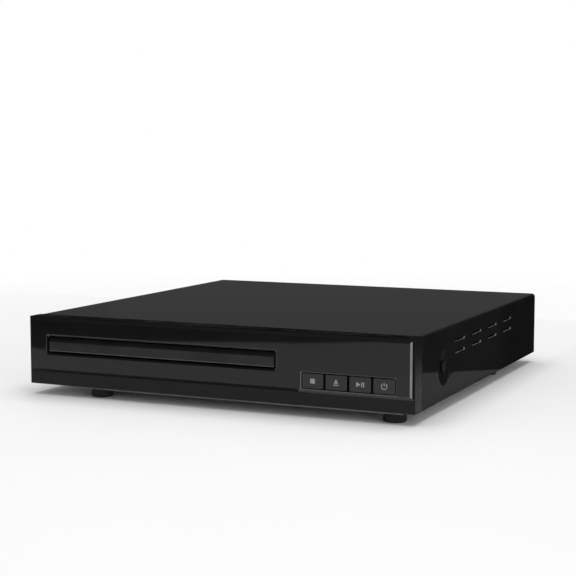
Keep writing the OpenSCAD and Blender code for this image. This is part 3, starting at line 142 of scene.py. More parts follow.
class Wiring:
    """A node tree, and the one way in which this script adds a node to it."""

    def __init__(self, tree):
        self.tree = tree
        tree.nodes.clear()

    def node(self, kind, sockets=None, settings=None):
        """Adds a node: first its settings, then the values or links of its sockets."""
        made = self.tree.nodes.new(kind)
        for name, value in (settings or {}).items():
            setattr(made, name, value)
        for name, value in (sockets or {}).items():
            value = value.socket if isinstance(value, Reading) else value
            if isinstance(value, bpy.types.NodeSocket):
                self.tree.links.new(value, made.inputs[name])
            else:
                made.inputs[name].default_value = value
        return made


print("a sum of readings adds one Math node for each sign")

# %% [markdown]
# ## A finish, and the patterns it can use
# A finish is one material with its Principled shader. All its patterns are read from Object
# coordinates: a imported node's object sits at the origin, so a pattern has its true size in metres,
# and it stays on the surface when the tray slides. Numbers that are the same all over go straight
# onto the shader.


# %% The finish class
class Finish(Wiring):
    """A material made of readings. Fixed numbers are given by the names of the shader's sockets."""

    NOISE_LOW, NOISE_GAIN = 0.32, 2.8

    def __init__(self, name, **fixed):
        self.material = bpy.data.materials.new(name)
        self.material.use_nodes = True
        super().__init__(self.material.node_tree)
        sockets = {key.replace("_", " "): value for key, value in fixed.items()}
        self.shader = self.node("ShaderNodeBsdfPrincipled", sockets)
        self.node("ShaderNodeOutputMaterial", {"Surface": self.shader.outputs[0]})
        self.place = self.node("ShaderNodeTexCoord").outputs["Object"]
        split = self.node("ShaderNodeSeparateXYZ", {0: self.place})
        self.x, self.y, self.z = (Reading(self, socket) for socket in split.outputs)

    def noise(self, scale, detail=3.0, stretch=(1, 1, 1)):
        """Cloudy noise, spread to run from about 0 to 1."""
        placed = {"Vector": self.place, "Scale": stretch}
        where = self.node("ShaderNodeMapping", placed).outputs[0]
        sockets = {"Vector": where, "Scale": scale, "Detail": detail}
        cloud = self.node("ShaderNodeTexNoise", sockets)
        return ((Reading(self, cloud.outputs[0]) - self.NOISE_LOW) * self.NOISE_GAIN).clipped()

    def cells(self, scale, output):
        """Scattered cells: the Distance to their points, as in specks, or one Color for each."""
        sockets = {"Vector": self.place, "Scale": scale}
        return Reading(self, self.node("ShaderNodeTexVoronoi", sockets).outputs[output])

    def bands(self, scale, direction="X", wobble=0.0):
        """Straight lines across one direction, as in turning marks and flat cable."""
        settings = {"wave_type": "BANDS", "bands_direction": direction}
        sockets = {"Vector": self.place, "Scale": scale, "Distortion": wobble}
        return Reading(self, self.node("ShaderNodeTexWave", sockets, settings).outputs[1])

    def rubbed(self, box, width, patches):
        """Where hands and shelves rub a box: near two of its faces at once, in patches."""
        sides = []
        for number, a, b in zip((self.x, self.y, self.z), *box):
            sides.append((1 - ((b - a) / 2 - abs(number - (a + b) / 2)) / width).clipped())
        edges = sides[0] * sides[1] + sides[1] * sides[2] + sides[2] * sides[0]
        return (edges * patches).clipped()

    def colour(self, mask, first, second):
        """The second colour where the mask is 1, and the first, or its socket, where it is 0."""
        first = first if isinstance(first, bpy.types.NodeSocket) else (*first, 1)
        sockets = {0: mask, 6: first, 7: (*second, 1)}
        return self.node("ShaderNodeMix", sockets, {"data_type": "RGBA"}).outputs[2]

    def paint(self, socket, value):
        """Feeds a reading or a colour into one socket of the shader."""
        value = value.socket if isinstance(value, Reading) else value
        self.tree.links.new(value, self.shader.inputs[socket])

    def tint(self, mask, first, second):
        """Gives the surface its colour, mixed from two by a mask."""
        self.paint("Base Color", self.colour(mask, first, second))

    def dent(self, height, depth):
        """Tilts the surface as if the height reading stood proud by that depth in metres."""
        sockets = {"Height": height, "Distance": depth}
        self.paint("Normal", self.node("ShaderNodeBump", sockets).outputs[0])


def shade(colour, share):
    """A colour made darker or lighter, by plain arithmetic."""
    return tuple(min(1.0, c * share) for c in colour)


print("a finish can read noise, cells, bands and rubbed edges")

# %% [markdown]
# ## The studio
# The white behind the player comes from the world, which is white to the camera, to reflections and
# through glass, and only half as strong as light. A stronger world would wash out the soft shadow.

# %% The white world
AIR_LIGHT = 0.5
world = bpy.data.worlds.new("white_room")
world.use_nodes = True
bpy.context.scene.world = world
room = Wiring(world.node_tree)
rays = room.node("ShaderNodeLightPath")
seen = Reading(room, rays.outputs["Is Camera Ray"]) + Reading(room, rays.outputs["Is Glossy Ray"])
seen = (seen + Reading(room, rays.outputs["Is Transmission Ray"])).clipped()
strength = AIR_LIGHT + (1 - AIR_LIGHT) * seen
air = room.node("ShaderNodeBackground", {"Color": (1, 1, 1, 1), "Strength": strength})
room.node("ShaderNodeOutputWorld", {"Surface": air.outputs[0]})
print("the world lights at", AIR_LIGHT, "and is seen at 1")

# %% [markdown]
# The paper could be a plane that ends far away, but its edge would show as a horizon. Here it turns
# clear with the distance from the player, so it fades into the white room and still takes the shadow.

# %% The floor, which fades into the white
FADE_START, FADE_LENGTH, FLOOR_RADIUS = 0.17, 0.5, 1.4


def as_object(shape, name, materials):
    """Makes a bmesh in metres into an object of the scene."""
    mesh = bpy.data.meshes.new(name)
    shape.to_mesh(mesh)
    shape.free()
    for material in materials:
        mesh.materials.append(material)
    made = bpy.data.objects.new(name, mesh)
    bpy.context.scene.collection.objects.link(made)
    return made


def stage_piece(shape, name, material):
    """Makes a bmesh into an object that isn't part of the player."""
    piece = as_object(shape, name, [material])
    return piece


paper = Finish("floor_paper", Roughness=0.55, Specular_IOR_Level=0.25)
paper.tint(paper.noise(3), (0.86, 0.86, 0.865), (0.89, 0.89, 0.89))
far = paper.node("ShaderNodeVectorMath", {0: paper.place}, {"operation": "LENGTH"})
fade = ((Reading(paper, far.outputs["Value"]) - FADE_START) / FADE_LENGTH).clipped()
clear = paper.node("ShaderNodeBsdfTransparent")
sockets = {0: fade, 1: paper.shader.outputs[0], 2: clear.outputs[0]}
both = paper.node("ShaderNodeMixShader", sockets)
paper.node("ShaderNodeOutputMaterial", {"Surface": both.outputs[0]}, {"is_active_output": True})

floor_shape = bmesh.new()
bmesh.ops.create_circle(floor_shape, cap_ends=True, segments=64, radius=FLOOR_RADIUS)
stage_piece(floor_shape, "floor", paper.material)
print("floor fades out from", FADE_START, "m to", FADE_START + FADE_LENGTH, "m")

# %% [markdown]
# A gloss black case is a mirror, so it shows the room and not itself. In the picture the lower part
# of the front shows pale floor, and the rest shows something dark, which a photographer gets with
# black cards round the table. Big dark walls would also darken the light. Here four upright cards
# are seen by reflections only, so the floor, the shadows and every other view stay clear.

# %% The dark cards, seen only in reflections
CARD_LOW, CARD_TALL = 0.001, 0.34
CARD_FEET = {
    "card_front": (0.02, [(-0.62, 0.026), (-0.2091, -0.264), (-0.0291, -0.3887), (0.25, -0.587)]),
    "card_right": (0.02, [(0.45, -0.23), (0.1594, 0.0312), (0.1183, 0.0676), (0.1183, 0.33)]),
    "card_back": (0.39, [(0.45, 0.33), (-0.60, 0.33)]),
    "card_left": (0.37, [(-0.34, 0.33), (-0.34, -0.05)]),
}


def made_verts(result):
    """The vertices among all that an extrude operator made."""
    return [g for g in result["geom"] if isinstance(g, bmesh.types.BMVert)]


for name, (glow, points) in CARD_FEET.items():
    fixed = {"Emission_Color": (1, 1, 0.99, 1), "Emission_Strength": glow, "Specular_IOR_Level": 0.0}
    grey = Finish(name + "_grey", Base_Color=(0, 0, 0, 1), **fixed)
    card_shape = bmesh.new()
    foot = [card_shape.verts.new((*point, CARD_LOW)) for point in points]
    foot_edges = [card_shape.edges.new(pair) for pair in zip(foot, foot[1:])]
    top = made_verts(bmesh.ops.extrude_edge_only(card_shape, edges=foot_edges))
    bmesh.ops.translate(card_shape, vec=(0, 0, CARD_TALL), verts=top)
    card = stage_piece(card_shape, name, grey.material)
    for ray in ("camera", "diffuse", "transmission", "volume_scatter", "shadow"):
        setattr(card, "visible_" + ray, False)
print("cards:", len(CARD_FEET))

# %% [markdown]
# The lamps are two soft boxes. A wide one hangs above and gives the soft shadow under the case. A
# small one stands low at the right and adds its reflection to the bright line down the right edge
# of the front, whose grey is also a painted highlight in that bevel's colour. With the world they
# add up to a plain level, at which a colour looks as it is written.


# %% The soft boxes
def soft_box(name, place, target, width, height, watts):
    """An area lamp that faces its target."""
    lamp = bpy.data.lights.new(name, "AREA")
    lamp.shape, lamp.size, lamp.size_y, lamp.energy = "RECTANGLE", width, height, watts
    box = bpy.data.objects.new(name, lamp)
    bpy.context.scene.collection.objects.link(box)
    box.location = place
    box.rotation_euler = (Vector(target) - Vector(place)).to_track_quat("-Z", "Y").to_euler()
    print(name, "gives", watts, "W from", round(box.location.length, 2), "m")


soft_box("overhead_box", (0.05, 0.0, 1.3), (0.02, 0, 0), width=1.3, height=1.1, watts=13.0)
soft_box("right_box", (1.0, -0.75, 0.30), (0.1, -0.1, 0.03), width=0.5, height=0.45, watts=2.4)

# %% [markdown]
# ## Gloss black plastic
# The front and the tray door are moulded in black plastic, in a polished tool. Such a gloss isn't a
# perfect mirror: it has a faint orange peel from the cooling plastic, hairlines from the polishing
# cloth, and paler edges where it is handled. It is a clear coat of less than full weight, because
# the plain shader turns almost white at a low angle. The plate, its lip, the band, the ends and the
# door differ in polish, so each has a coat of its own.

# %% Gloss black finish
def gloss_black(name, box, coat=0.62, pale=1.0, shine=0.1):
    """Polished black plastic, worn along the edges of a box."""
    finish = Finish(name + "_finish", Specular_IOR_Level=shine, Coat_Roughness=0.05)
    cloud, hairs = finish.noise(45), finish.noise(260, 2, (1, 1, 14))
    worn = finish.rubbed(box, 0.0009, finish.noise(160))
    dark, light = shade((0.0026, 0.0027, 0.0027), pale), shade((0.0050, 0.0051, 0.0052), pale)
    finish.tint((0.75 * cloud + 0.9 * worn).clipped(), dark, light)
    finish.paint("Roughness", 0.32 + 0.16 * hairs + 0.2 * worn)
    finish.paint("Coat Weight", coat - 0.07 * cloud - 0.05 * hairs - 0.3 * worn)
    finish.dent(finish.noise(420, 2) + 0.08 * hairs, 0.0000022)
    return finish.material


front_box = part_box("front_panel")
gloss = {
    "front": gloss_black("front_gloss", front_box),
    "door": gloss_black("door_gloss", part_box("tray_door"), coat=0.16, pale=6.6),
    "lip": gloss_black("lip_gloss", front_box, coat=0.09, shine=0.0),
    "side": gloss_black("side_gloss", front_box, coat=0.03),
    "band": gloss_black("band_gloss", front_box, coat=0.33),
}
print("gloss finishes:", list(gloss))

# %% [markdown]
# The bevels round the front plate, the tray slot and the key window are polished by hand after
# moulding, and catch the light as thin grey lines, which make the flat front look crisp. That light
# is painted: they get finishes of their own, grey in place of black, as a painted highlight, and
# with a wider highlight from the shader on top.

# %% Polished bevel finish
def painted_edge_highlight(name, low, high):
    """A narrow edge with a painted highlight: its colour is streaked between two greys."""
    finish = Finish(name + "_finish", Coat_Weight=0.8, Coat_Roughness=0.12, Specular_IOR_Level=0.4)
    streaks = finish.noise(700, 2, (1, 1, 0.2))
    finish.tint(finish.noise(90) * 0.6 + 0.4 * streaks, low, high)
    finish.paint("Roughness", 0.3 + 0.15 * streaks)
    finish.dent(streaks, 0.000002)
    return finish.material


# All four are painted highlights: grey colours on bevels of black plastic.
bevels = {
    "line": painted_edge_highlight("bevel_painted_highlight", (0.022, 0.022, 0.0235), (0.042, 0.042, 0.044)),
    "bright": painted_edge_highlight("bright_painted_highlight", (0.13, 0.132, 0.134), (0.20, 0.202, 0.204)),
    "door": painted_edge_highlight("door_painted_highlight", (0.06, 0.061, 0.061), (0.095, 0.096, 0.096)),
    "window": painted_edge_highlight("window_painted_highlight", (0.045, 0.045, 0.047), (0.075, 0.075, 0.078)),
}
print("bevel finishes:", list(bevels))

# %% [markdown]
# ## Painted steel
# The cover is sheet steel under gloss black paint. Paint has an orange peel too, with a few dust
# specks under the skin, and it wears to a dull grey along the bends. The wear follows the edges of
# the cover's box, and noise breaks it up.


# %% Painted cover finish
def painted_steel(name, box, coat=0.175):
    """Black paint on a steel sheet, worn along the edges of a box."""
    finish = Finish(name + "_finish", Specular_IOR_Level=0.0, Coat_Roughness=0.07)
    cloud, peel = finish.noise(14), finish.noise(520, 2)
    specks = (1 - finish.cells(340, "Distance") * 7).clipped()
    worn = finish.rubbed(box, 0.0011, finish.noise(120))
    thin = (0.6 * cloud + 0.8 * worn + 0.3 * specks).clipped()
    finish.tint(thin, (0.0052, 0.0052, 0.0057), (0.014, 0.014, 0.015))
    finish.paint("Roughness", 0.38 + 0.14 * cloud + 0.2 * worn)
    finish.paint("Coat Weight", coat - 0.03 * cloud - 0.1 * worn)
    finish.dent(peel + 0.6 * specks, 0.0000035)
    return finish.material


cover_paint = painted_steel("cover_paint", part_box("top_cover"))
print("paint finish:", cover_paint.name)

# %% [markdown]
# ## Bare metals
# The pan, the rear panel and the screws are zinc plated. Fresh zinc has spangles, flat crystals that
# each catch the light a little differently, with a grain in the direction in which the sheet was
# rolled. Turned and ground parts have fine rings instead. One function makes them all, from the
# strength of the spangle and the direction of the grain.


# %% Metal finishes
def bare_metal(name, colour, roughness, spangle=0.5, grain=(1, 14, 1), stains=0.3):
    """Plated, turned or cast metal. The grain's largest number is across its lines."""
    finish = Finish(name + "_finish")
    cells, rolled = finish.cells(330, "Color"), finish.noise(900, 2, grain)
    stain = (finish.noise(35) * stains).clipped()
    mix = (0.55 * spangle * cells + 0.3 * rolled + stain).clipped()
    finish.tint(mix, shade(colour, 1.08), shade(colour, 0.62))
    finish.paint("Metallic", 1 - 0.25 * stain)
    finish.paint("Roughness", roughness + 0.1 * cells * spangle + 0.1 * rolled + 0.2 * stain)
    finish.dent(0.5 * rolled + 0.2 * spangle * cells, 0.000005)
    return finish.material


metals = {
    "chassis_steel": bare_metal("zinc_sheet", (0.46, 0.47, 0.48), 0.34, 0.7),
    "bridge_steel": bare_metal("bridge_sheet", (0.50, 0.51, 0.52), 0.32, 0.6),
    "screw_zinc": bare_metal("zinc_screw", (0.55, 0.55, 0.54), 0.3, 0.2, (1, 1, 1)),
    "screw_black": bare_metal("black_oxide", (0.013, 0.013, 0.014), 0.5, 0.3, (1, 1, 1)),
    "motor_steel": bare_metal("motor_can", (0.56, 0.56, 0.55), 0.26, 0.1, (1, 1, 9), 0.15),
    "rod_steel": bare_metal("ground_rod", (0.70, 0.71, 0.72), 0.12, 0.0, (1, 20, 1), 0.1),
    "sled_metal": bare_metal("die_cast", (0.22, 0.22, 0.23), 0.48, 0.4, (1, 1, 1), 0.4),
    "magnet": bare_metal("sintered", (0.20, 0.20, 0.21), 0.5, 0.6, (1, 1, 1), 0.5),
    "jack_metal": bare_metal("nickel", (0.62, 0.60, 0.55), 0.2, 0.1, (1, 1, 1), 0.25),
}
print("metal finishes:", len(metals))

# %% [markdown]
# ## Moulded plastic
# The parts inside are moulded too, but in spark eroded tools, so they come out satin with a fine
# grain. Black ones show grey where parts rub. The natural acetal of the gears is milky and a little
# waxy, and its grain is finer. Rubber is the same recipe, only rougher. The unpolished bevels use it
# too, with almost no shine, and so does the door's top, whose colour is darker than the door's as
# painted shade.

# %% Satin plastics
def satin_plastic(name, colour, roughness, grain=1500, depth=6e-6, coat=0.0, lift=1.5, shine=0.4):
    """Moulded plastic or rubber. The lift is how much paler it is where it is scuffed."""
    finish = Finish(name + "_finish", Coat_Weight=coat, Coat_Roughness=0.15, Specular_IOR_Level=shine)
    cloud, fine, scuff = finish.noise(60), finish.noise(grain, 2), finish.noise(300, 4, (1, 5, 1))
    pale = (0.6 * cloud + 0.35 * scuff * fine).clipped()
    finish.tint(pale, shade(colour, 0.85), shade(colour, lift))
    finish.paint("Roughness", roughness + 0.12 * cloud + 0.1 * scuff)
    finish.dent(fine + 0.3 * scuff, depth)
    return finish.material


plastics = {
    "key_satin": satin_plastic("key_satin", (0.0165, 0.017, 0.0185), 0.42, 2600, 4e-6, 0.15),
    "tray_plastic": satin_plastic("tray_satin", (0.020, 0.020, 0.022), 0.4),
    "loader_plastic": satin_plastic("loader_satin", (0.028, 0.028, 0.030), 0.5),
    "inlet_plastic": satin_plastic("inlet_satin", (0.018, 0.018, 0.018), 0.42),
    "gear_plastic": satin_plastic("acetal", (0.74, 0.73, 0.68), 0.38, 2200, 3e-6, 0.1, lift=1.06),
    "chip": satin_plastic("moulded_package", (0.028, 0.028, 0.029), 0.55, 3000, 5e-6),
    "foot_rubber": satin_plastic("foot_rubber", (0.010, 0.010, 0.0095), 0.78, 1100, 1.4e-5, lift=2.2),
    "belt_rubber": satin_plastic("belt_rubber", (0.018, 0.018, 0.018), 0.7, 1400, 1e-5, lift=1.8),
}
# The door's top is painted darker than the door, as shade under the slot's top.
door_top_painted_shade = satin_plastic("door_top_painted_shade", (0.0095, 0.0096, 0.01), 0.6, 1800, 4e-6, shine=0.04)
dull_bevel = satin_plastic("dull_bevel", (0.0045, 0.0045, 0.005), 0.6, 1800, 4e-6, shine=0.04)
print("plastic finishes:", [*plastics, "door_top_painted_shade", "dull_bevel"])

# %% [markdown]
# ## Circuit boards
# A circuit board is glass cloth under a tinted lacquer: the tracks show through as lighter lines,
# and the plated pads as small bright spots. The lines are two crossing sets of bands, broken up by
# noise, and the pads are scattered points.

# %% Board finishes
def circuit_board(name, lacquer, track, pad):
    """A lacquered board, in the colours of its lacquer, its tracks and its pads."""
    finish = Finish(name + "_finish", Coat_Weight=0.3, Coat_Roughness=0.2)
    across, along = finish.bands(160, "X", 1.5), finish.bands(160, "Y", 1.5)
    zone = finish.noise(70, 1)
    tracks = ((across * zone + along * (1 - zone) - 0.62) * 9).clipped()
    pads = (1 - finish.cells(170, "Distance") * 6).clipped()
    weave = finish.bands(1500, "X") * finish.bands(1500, "Y")
    finish.tint(pads, finish.colour(tracks, lacquer, track), pad)
    finish.paint("Metallic", pads)
    finish.paint("Roughness", 0.42 - 0.12 * pads + 0.1 * zone)
    finish.dent(tracks + 0.8 * pads + 0.15 * weave, 0.000018)
    return finish.material


boards = {
    "board": circuit_board(
        "green_board", (0.022, 0.115, 0.05), (0.05, 0.20, 0.09), (0.66, 0.66, 0.62),
    ),
    "power_board_tan": circuit_board(
        "tan_board", (0.27, 0.175, 0.07), (0.34, 0.235, 0.11), (0.62, 0.60, 0.55),
    ),
}
print("board finishes:", list(boards))

# %% [markdown]
# ## Windings, cable, lens and rings
# Windings, flat cable and the lens are single looks, each written out. A winding is lacquered wire
# laid side by side, a flat cable shows its cores through its skin, and the lens has a thin bluish
# coating. The rings in the sockets are dyed plastic, one colour for each signal.

# %% Windings, cable, lens and coloured rings
copper = Finish("winding_finish", Coat_Weight=0.5, Coat_Roughness=0.1)
turns = copper.bands(900, "Z", 0.6)
# Painted light and shade: each turn of wire is paler on top and darker between the turns.
lit = turns * 0.7 + 0.3 * copper.noise(120)
copper.tint(lit, (0.30, 0.13, 0.05), (0.72, 0.36, 0.16))
copper.paint("Metallic", 0.85 + 0.1 * turns)
copper.paint("Roughness", 0.28 + 0.15 * copper.noise(300))
copper.dent(turns, 0.00004)

ribbon = Finish("flat_cable_finish", Coat_Weight=0.2, Coat_Roughness=0.25)
cores = ribbon.bands(380, "X")
skin = cores * 0.8 + 0.2 * ribbon.noise(80)
ribbon.tint(skin, (0.44, 0.44, 0.42), (0.66, 0.66, 0.63))
ribbon.paint("Roughness", 0.4 + 0.15 * ribbon.noise(200))
ribbon.dent(cores, 0.0001)

glass = Finish("lens_finish", Transmission_Weight=0.7, IOR=1.53, Coat_Weight=0.6, Coat_Roughness=0.02)
coating = glass.noise(300)
glass.tint(coating, (0.30, 0.36, 0.72), (0.46, 0.40, 0.80))
glass.paint("Roughness", 0.03 + 0.04 * coating)
glass.dent(glass.noise(900), 0.000001)

RING_COLOURS = {
    "yellow": (0.80, 0.58, 0.03), "white": (0.74, 0.74, 0.72),
    "red": (0.55, 0.018, 0.015), "orange": (0.78, 0.22, 0.02),
}
rings = {}
for name, dye in RING_COLOURS.items():
    rings[name] = satin_plastic("ring_" + name, dye, 0.35, 1800, 4e-6, coat=0.3, lift=1.08)

slot_finish = {
    **metals, **plastics, **boards,
    "copper": copper.material, "cable": ribbon.material, "lens_glass": glass.material,
    "front_gloss": gloss["front"], "cover_black": cover_paint, "jack_insert": rings["white"],
}
print("finishes by slot:", len(slot_finish))

# %% [markdown]
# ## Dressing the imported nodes
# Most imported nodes, such as the gears, the boards and the motors, have the right shape already. They
# keep their meshes, and only get the finish of their slot, which the record gives.

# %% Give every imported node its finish
node_slot = {part["node"]: part["material_slot"] for part in frame["record"]["subparts"]}
for node, packed in frame["nodes"].items():
    packed.data.materials.clear()
    packed.data.materials.append(slot_finish[node_slot[node]])
print("nodes dressed:", len(node_slot))

# %% [markdown]
# ## Making a piece
# A new piece is moved into the frame, shaded smooth between its real edges, and set to ride on the
# body that carries it. Smooth shading alone would bend the reflections on a flat panel next to its
# rounded edge, so the normals are weighted by area, and the wide faces win. A piece names the slot
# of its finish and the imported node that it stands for. Where its faces differ in finish, a function
# names the zone of each.


# %% Place a finished shape
CREASE = 32


def move_in_frame(shape):
    """Moves a bmesh from the case's millimetres into the frame's metres."""
    bmesh.ops.translate(shape, vec=CASE_SHIFT, verts=shape.verts)
    bmesh.ops.scale(shape, vec=(MM, MM, MM), verts=shape.verts)


def finish_zones(shape, zone_of, finishes):
    """Gives every face its zone's finish, by its place among the finishes."""
    names, zones = list(finishes), [zone_of(face) for face in shape.faces]
    for face, zone in zip(shape.faces, zones):
        face.material_index = names.index(zone)
    print("faces by zone:", {name: zones.count(name) for name in names})


def new_piece(shape, name, body, slot, node=None, finishes=None, zone_of=None, in_mm=True):
    """Makes a bmesh a named piece of the player. Without finishes it takes its slot's."""
    if zone_of:
        shape.normal_update()
        finish_zones(shape, zone_of, finishes)
    if in_mm:
        move_in_frame(shape)
    piece = as_object(shape, name, finishes.values() if finishes else [slot_finish[slot]])
    mesh = piece.data
    for layer in ("custom_normal", "sharp_face", "sharp_edge"):
        if layer in mesh.attributes:
            mesh.attributes.remove(mesh.attributes[layer])
    mesh.shade_smooth()
    mesh.set_sharp_from_angle(angle=math.radians(CREASE))
    flat = piece.modifiers.new("flat_faces_stay_flat", "WEIGHTED_NORMAL")
    flat.mode, flat.weight, flat.keep_sharp = "FACE_AREA", 80, True
    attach(piece, body)
    if node:
        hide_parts(node)
    triangles = sum(len(p.vertices) - 2 for p in mesh.polygons)
    print(name, "rides on", body, "with", triangles, "triangles")


# %% [markdown]
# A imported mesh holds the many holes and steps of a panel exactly, and to draw them again would only
# add mistakes. What it lacks is the small radius on every edge, which a tool or a press always
# leaves, and which catches the light. So the doubled points of a copy are merged, and its sharp
# edges are bevelled. The flat fans of triangles stay, because a whole face with a hole in it is
# drawn wrong.

# %% Round the edges of a copy
SHARP = 34


def round_edges(shape, edges, radius, segments):
    """Bevels edges to a radius, in the bmesh's own units."""
    bmesh.ops.bevel(
        shape, geom=edges, offset=radius, segments=segments, profile=0.5, affect="EDGES", material=-1,
    )


def softened(node, radius):
    """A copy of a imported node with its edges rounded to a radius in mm, as a bmesh in metres."""
    shape = bmesh.new()
    shape.from_mesh(frame["nodes"][node].data)
    bmesh.ops.remove_doubles(shape, verts=shape.verts, dist=2e-6)
    edges = [e for e in shape.edges if e.is_manifold and e.calc_face_angle() > math.radians(SHARP)]
    round_edges(shape, edges, radius * MM, 2)
    return shape


def softened_piece(node, name, body, radius, slot, finishes=None, zone_of=None):
    """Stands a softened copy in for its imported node."""
    new_piece(softened(node, radius), name, body, slot, node, finishes, zone_of, in_mm=False)


def gather(target, shape):
    """Adds a finished bmesh to another one."""
    copy = bpy.data.meshes.new("copy")
    shape.to_mesh(copy)
    shape.free()
    target.from_mesh(copy)
    bpy.data.meshes.remove(copy)


print("edges sharper than", SHARP, "degrees are rounded")

# %% [markdown]
# ## The front panel
# The front is one moulding: a raised plate with bevels all round, the long tray slot, the key window
# with its chamfered frame, and a lower band that stands back under the plate. The mould rounds the
# corners of the tray slot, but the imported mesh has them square. Bevelling those corners would
# crumple the flat fans beside them, so a fillet is added in each: an arc is spun, closed at the
# corner, pulled out, and spread over the slot's chamfer.

# %% Fillets in the corners of the tray slot
SLOT_X, SLOT_Z, SLOT_HALF_WIDE, SLOT_HALF_TALL = -31.0, 22.5, 68.83, 4.63
FILLET, SPREAD, CHAMFER, WALL_BACK, PANEL_EDGE = 0.9, 5 / 3, 1, 3.2, 0.14


def pull(shape, faces, vec):
    """Pulls faces out along a vector, and gives back all that this made."""
    made = bmesh.ops.extrude_face_region(shape, geom=faces)
    bmesh.ops.translate(shape, vec=vec, verts=made_verts(made))
    return made


def slot_fillet(side, up):
    """Fills one corner of the slot with a concave fillet, which widens with the slot's chamfer."""
    shape = bmesh.new()
    x, z = SLOT_X + side * SLOT_HALF_WIDE, SLOT_Z + up * SLOT_HALF_TALL
    start = shape.verts.new((x, WALL_BACK, z - up * FILLET))
    centre = (x - side * FILLET, WALL_BACK, z - up * FILLET)
    quarter = -side * up * math.pi / 2
    bmesh.ops.spin(shape, geom=[start], cent=centre, axis=(0, 1, 0), angle=quarter, steps=6)
    arc = sorted(shape.verts, key=lambda v: up * v.co.z)
    end = shape.faces.new([shape.verts.new((x, WALL_BACK, z)), *arc])
    made = pull(shape, [end], (0, CHAMFER - WALL_BACK, 0))
    neck = [g for g in made["geom"] if isinstance(g, bmesh.types.BMFace)]
    front = made_verts(bmesh.ops.extrude_face_region(shape, geom=neck))
    corner = Matrix.Translation((-x, 0, -z))
    bmesh.ops.scale(shape, vec=(SPREAD, 1, SPREAD), space=corner, verts=front)
    bmesh.ops.translate(shape, vec=(side * CHAMFER, -CHAMFER, up * CHAMFER), verts=front)
    bmesh.ops.recalc_face_normals(shape, faces=shape.faces)
    tip = Vector((x + side * CHAMFER, 0, z + up * CHAMFER))
    on_rim = {v for v in shape.verts if v.co.y < 0.01 and (v.co - tip).length > 0.01}
    round_edges(shape, [e for e in shape.edges if on_rim.issuperset(e.verts)], PANEL_EDGE, 2)
    move_in_frame(shape)
    return shape


panel = softened("front_panel", PANEL_EDGE)
for side in (-1, 1):
    for up in (-1, 1):
        gather(panel, slot_fillet(side, up))
print("fillet radius at the face in mm:", round(FILLET * SPREAD, 2))

# %% [markdown]
# The plate is plain gloss, but its bevels differ. The front half of the right one carries a bright
# painted highlight. The frame of the key window, the lower bevel under it and the upper and right
# rims of the tray slot carry fainter painted highlights, and the rest is dull and stays dark. The
# faces are found by the way they point and where they lie in the case, after two cuts that split the
# long bevels where the painted highlights end.

# %% Front panel with its polished and dull bevels
# The line, bright, window and rim finishes are painted highlights on the bevels.
PANEL_FINISHES = {
    "plate": gloss["front"], "line": bevels["line"], "bright": bevels["bright"],
    "window": bevels["window"], "dull": dull_bevel, "lip": gloss["lip"], "band": gloss["band"],
    "side": gloss["side"], "rim": bevels["door"],
}
BAND_TOP, LOWER_BEVEL_TOP, LIP_LOW = 7.2, 9, 36.6
WINDOW_X, WINDOW_REACH, WINDOW_END, WINDOW_Z = 77.7, 26, 50.6, (7.9, 18.4)
SLOT_REACH, SLOT_RIM_Z = 71, (17, 29)
RIGHT_BEVEL, BRIGHT_END, ENDS_FRONT = 109, 111.3, 1.5


def cut_across(shape, point, normal):
    """Cuts all faces where a plane crosses them. The point is in metres."""
    whole = shape.verts[:] + shape.edges[:] + shape.faces[:]
    bmesh.ops.bisect_plane(shape, geom=whole, dist=1e-7, plane_co=point, plane_no=normal)


def case_place(face):
    """The middle of a face in the case's millimetres."""
    return face.calc_center_median() / MM - CASE_SHIFT


def panel_zone(face):
    """The zone of a face of the front panel."""
    n, c = face.normal, case_place(face)
    if n.z > 0.8 and c.z > LIP_LOW:
        return "lip"
    if n.y < -0.97:
        return "band" if c.z < BAND_TOP else "plate"
    if c.y > ENDS_FRONT and abs(n.x) > 0.5:
        return "side"
    if c.y > WALL_BACK or n.y > -0.2:
        return "plate"
    if abs(c.x - WINDOW_X) < WINDOW_REACH and WINDOW_Z[0] < c.z < WINDOW_Z[1]:
        return "window"
    if SLOT_RIM_Z[0] < c.z < SLOT_RIM_Z[1] and abs(c.x - SLOT_X) < SLOT_REACH:
        if n.y < -0.3 and n.x < -0.3:
            return "rim"
        chamfer, edge = n.y < -0.3 and n.z < -0.5, n.y < -0.8 and (n.z < 0.2 or n.x > 0.3)
        return "line" if chamfer or edge else "dull"
    if n.x > 0.3 and c.x > RIGHT_BEVEL:
        return "bright" if c.x < BRIGHT_END + 0.05 else "dull"
    if c.z < LOWER_BEVEL_TOP:
        return "line" if c.x > WINDOW_END else "side"
    return "dull"


for cut_x in (WINDOW_END, BRIGHT_END):
    cut_across(panel, in_frame(cut_x, 0, 0), (1, 0, 0))
new_piece(
    panel, "front_panel_moulding", "case", "front_gloss", "front_panel", PANEL_FINISHES, panel_zone,
    in_mm=False,
)

# %% [markdown]
# ## The cover and the pan
# The cover is one sheet, bent down on both sides, with a round dimple for a screw and two rows of
# thin vent slots in each side. The pan under it has a lowered platform with sloping sides. Sheet
# metal has only a small burr, so its edges get a radius of about a tenth of a millimetre. The sheet
# is painted before the slots are punched, so their walls are bare steel, whose grey colour also
# paints in their glint. The wall that faces up gets a paler copy, a painted highlight where the
# light falls on it. In the dimple the paint is thin and dull.

# %% Cover, pan and rear panel
COVER_FINISHES = {
    "paint": cover_paint,
    "cut": painted_edge_highlight("cut_steel_painted_glint", (0.34, 0.34, 0.34), (0.55, 0.55, 0.55)),
    "lit": painted_edge_highlight("lit_steel_painted_highlight", (0.80, 0.80, 0.79), (0.93, 0.93, 0.92)),
    "dimple": painted_steel("dimple_paint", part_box("top_cover"), 0.06),
}
SHEET_X, VENTS_Y, VENTS_Z = (111.7, 112.49), (60, 180), (20, 31)
DIMPLE_Y, DIMPLE_Z, DIMPLE_RADIUS = 47, 17.5, 10.4


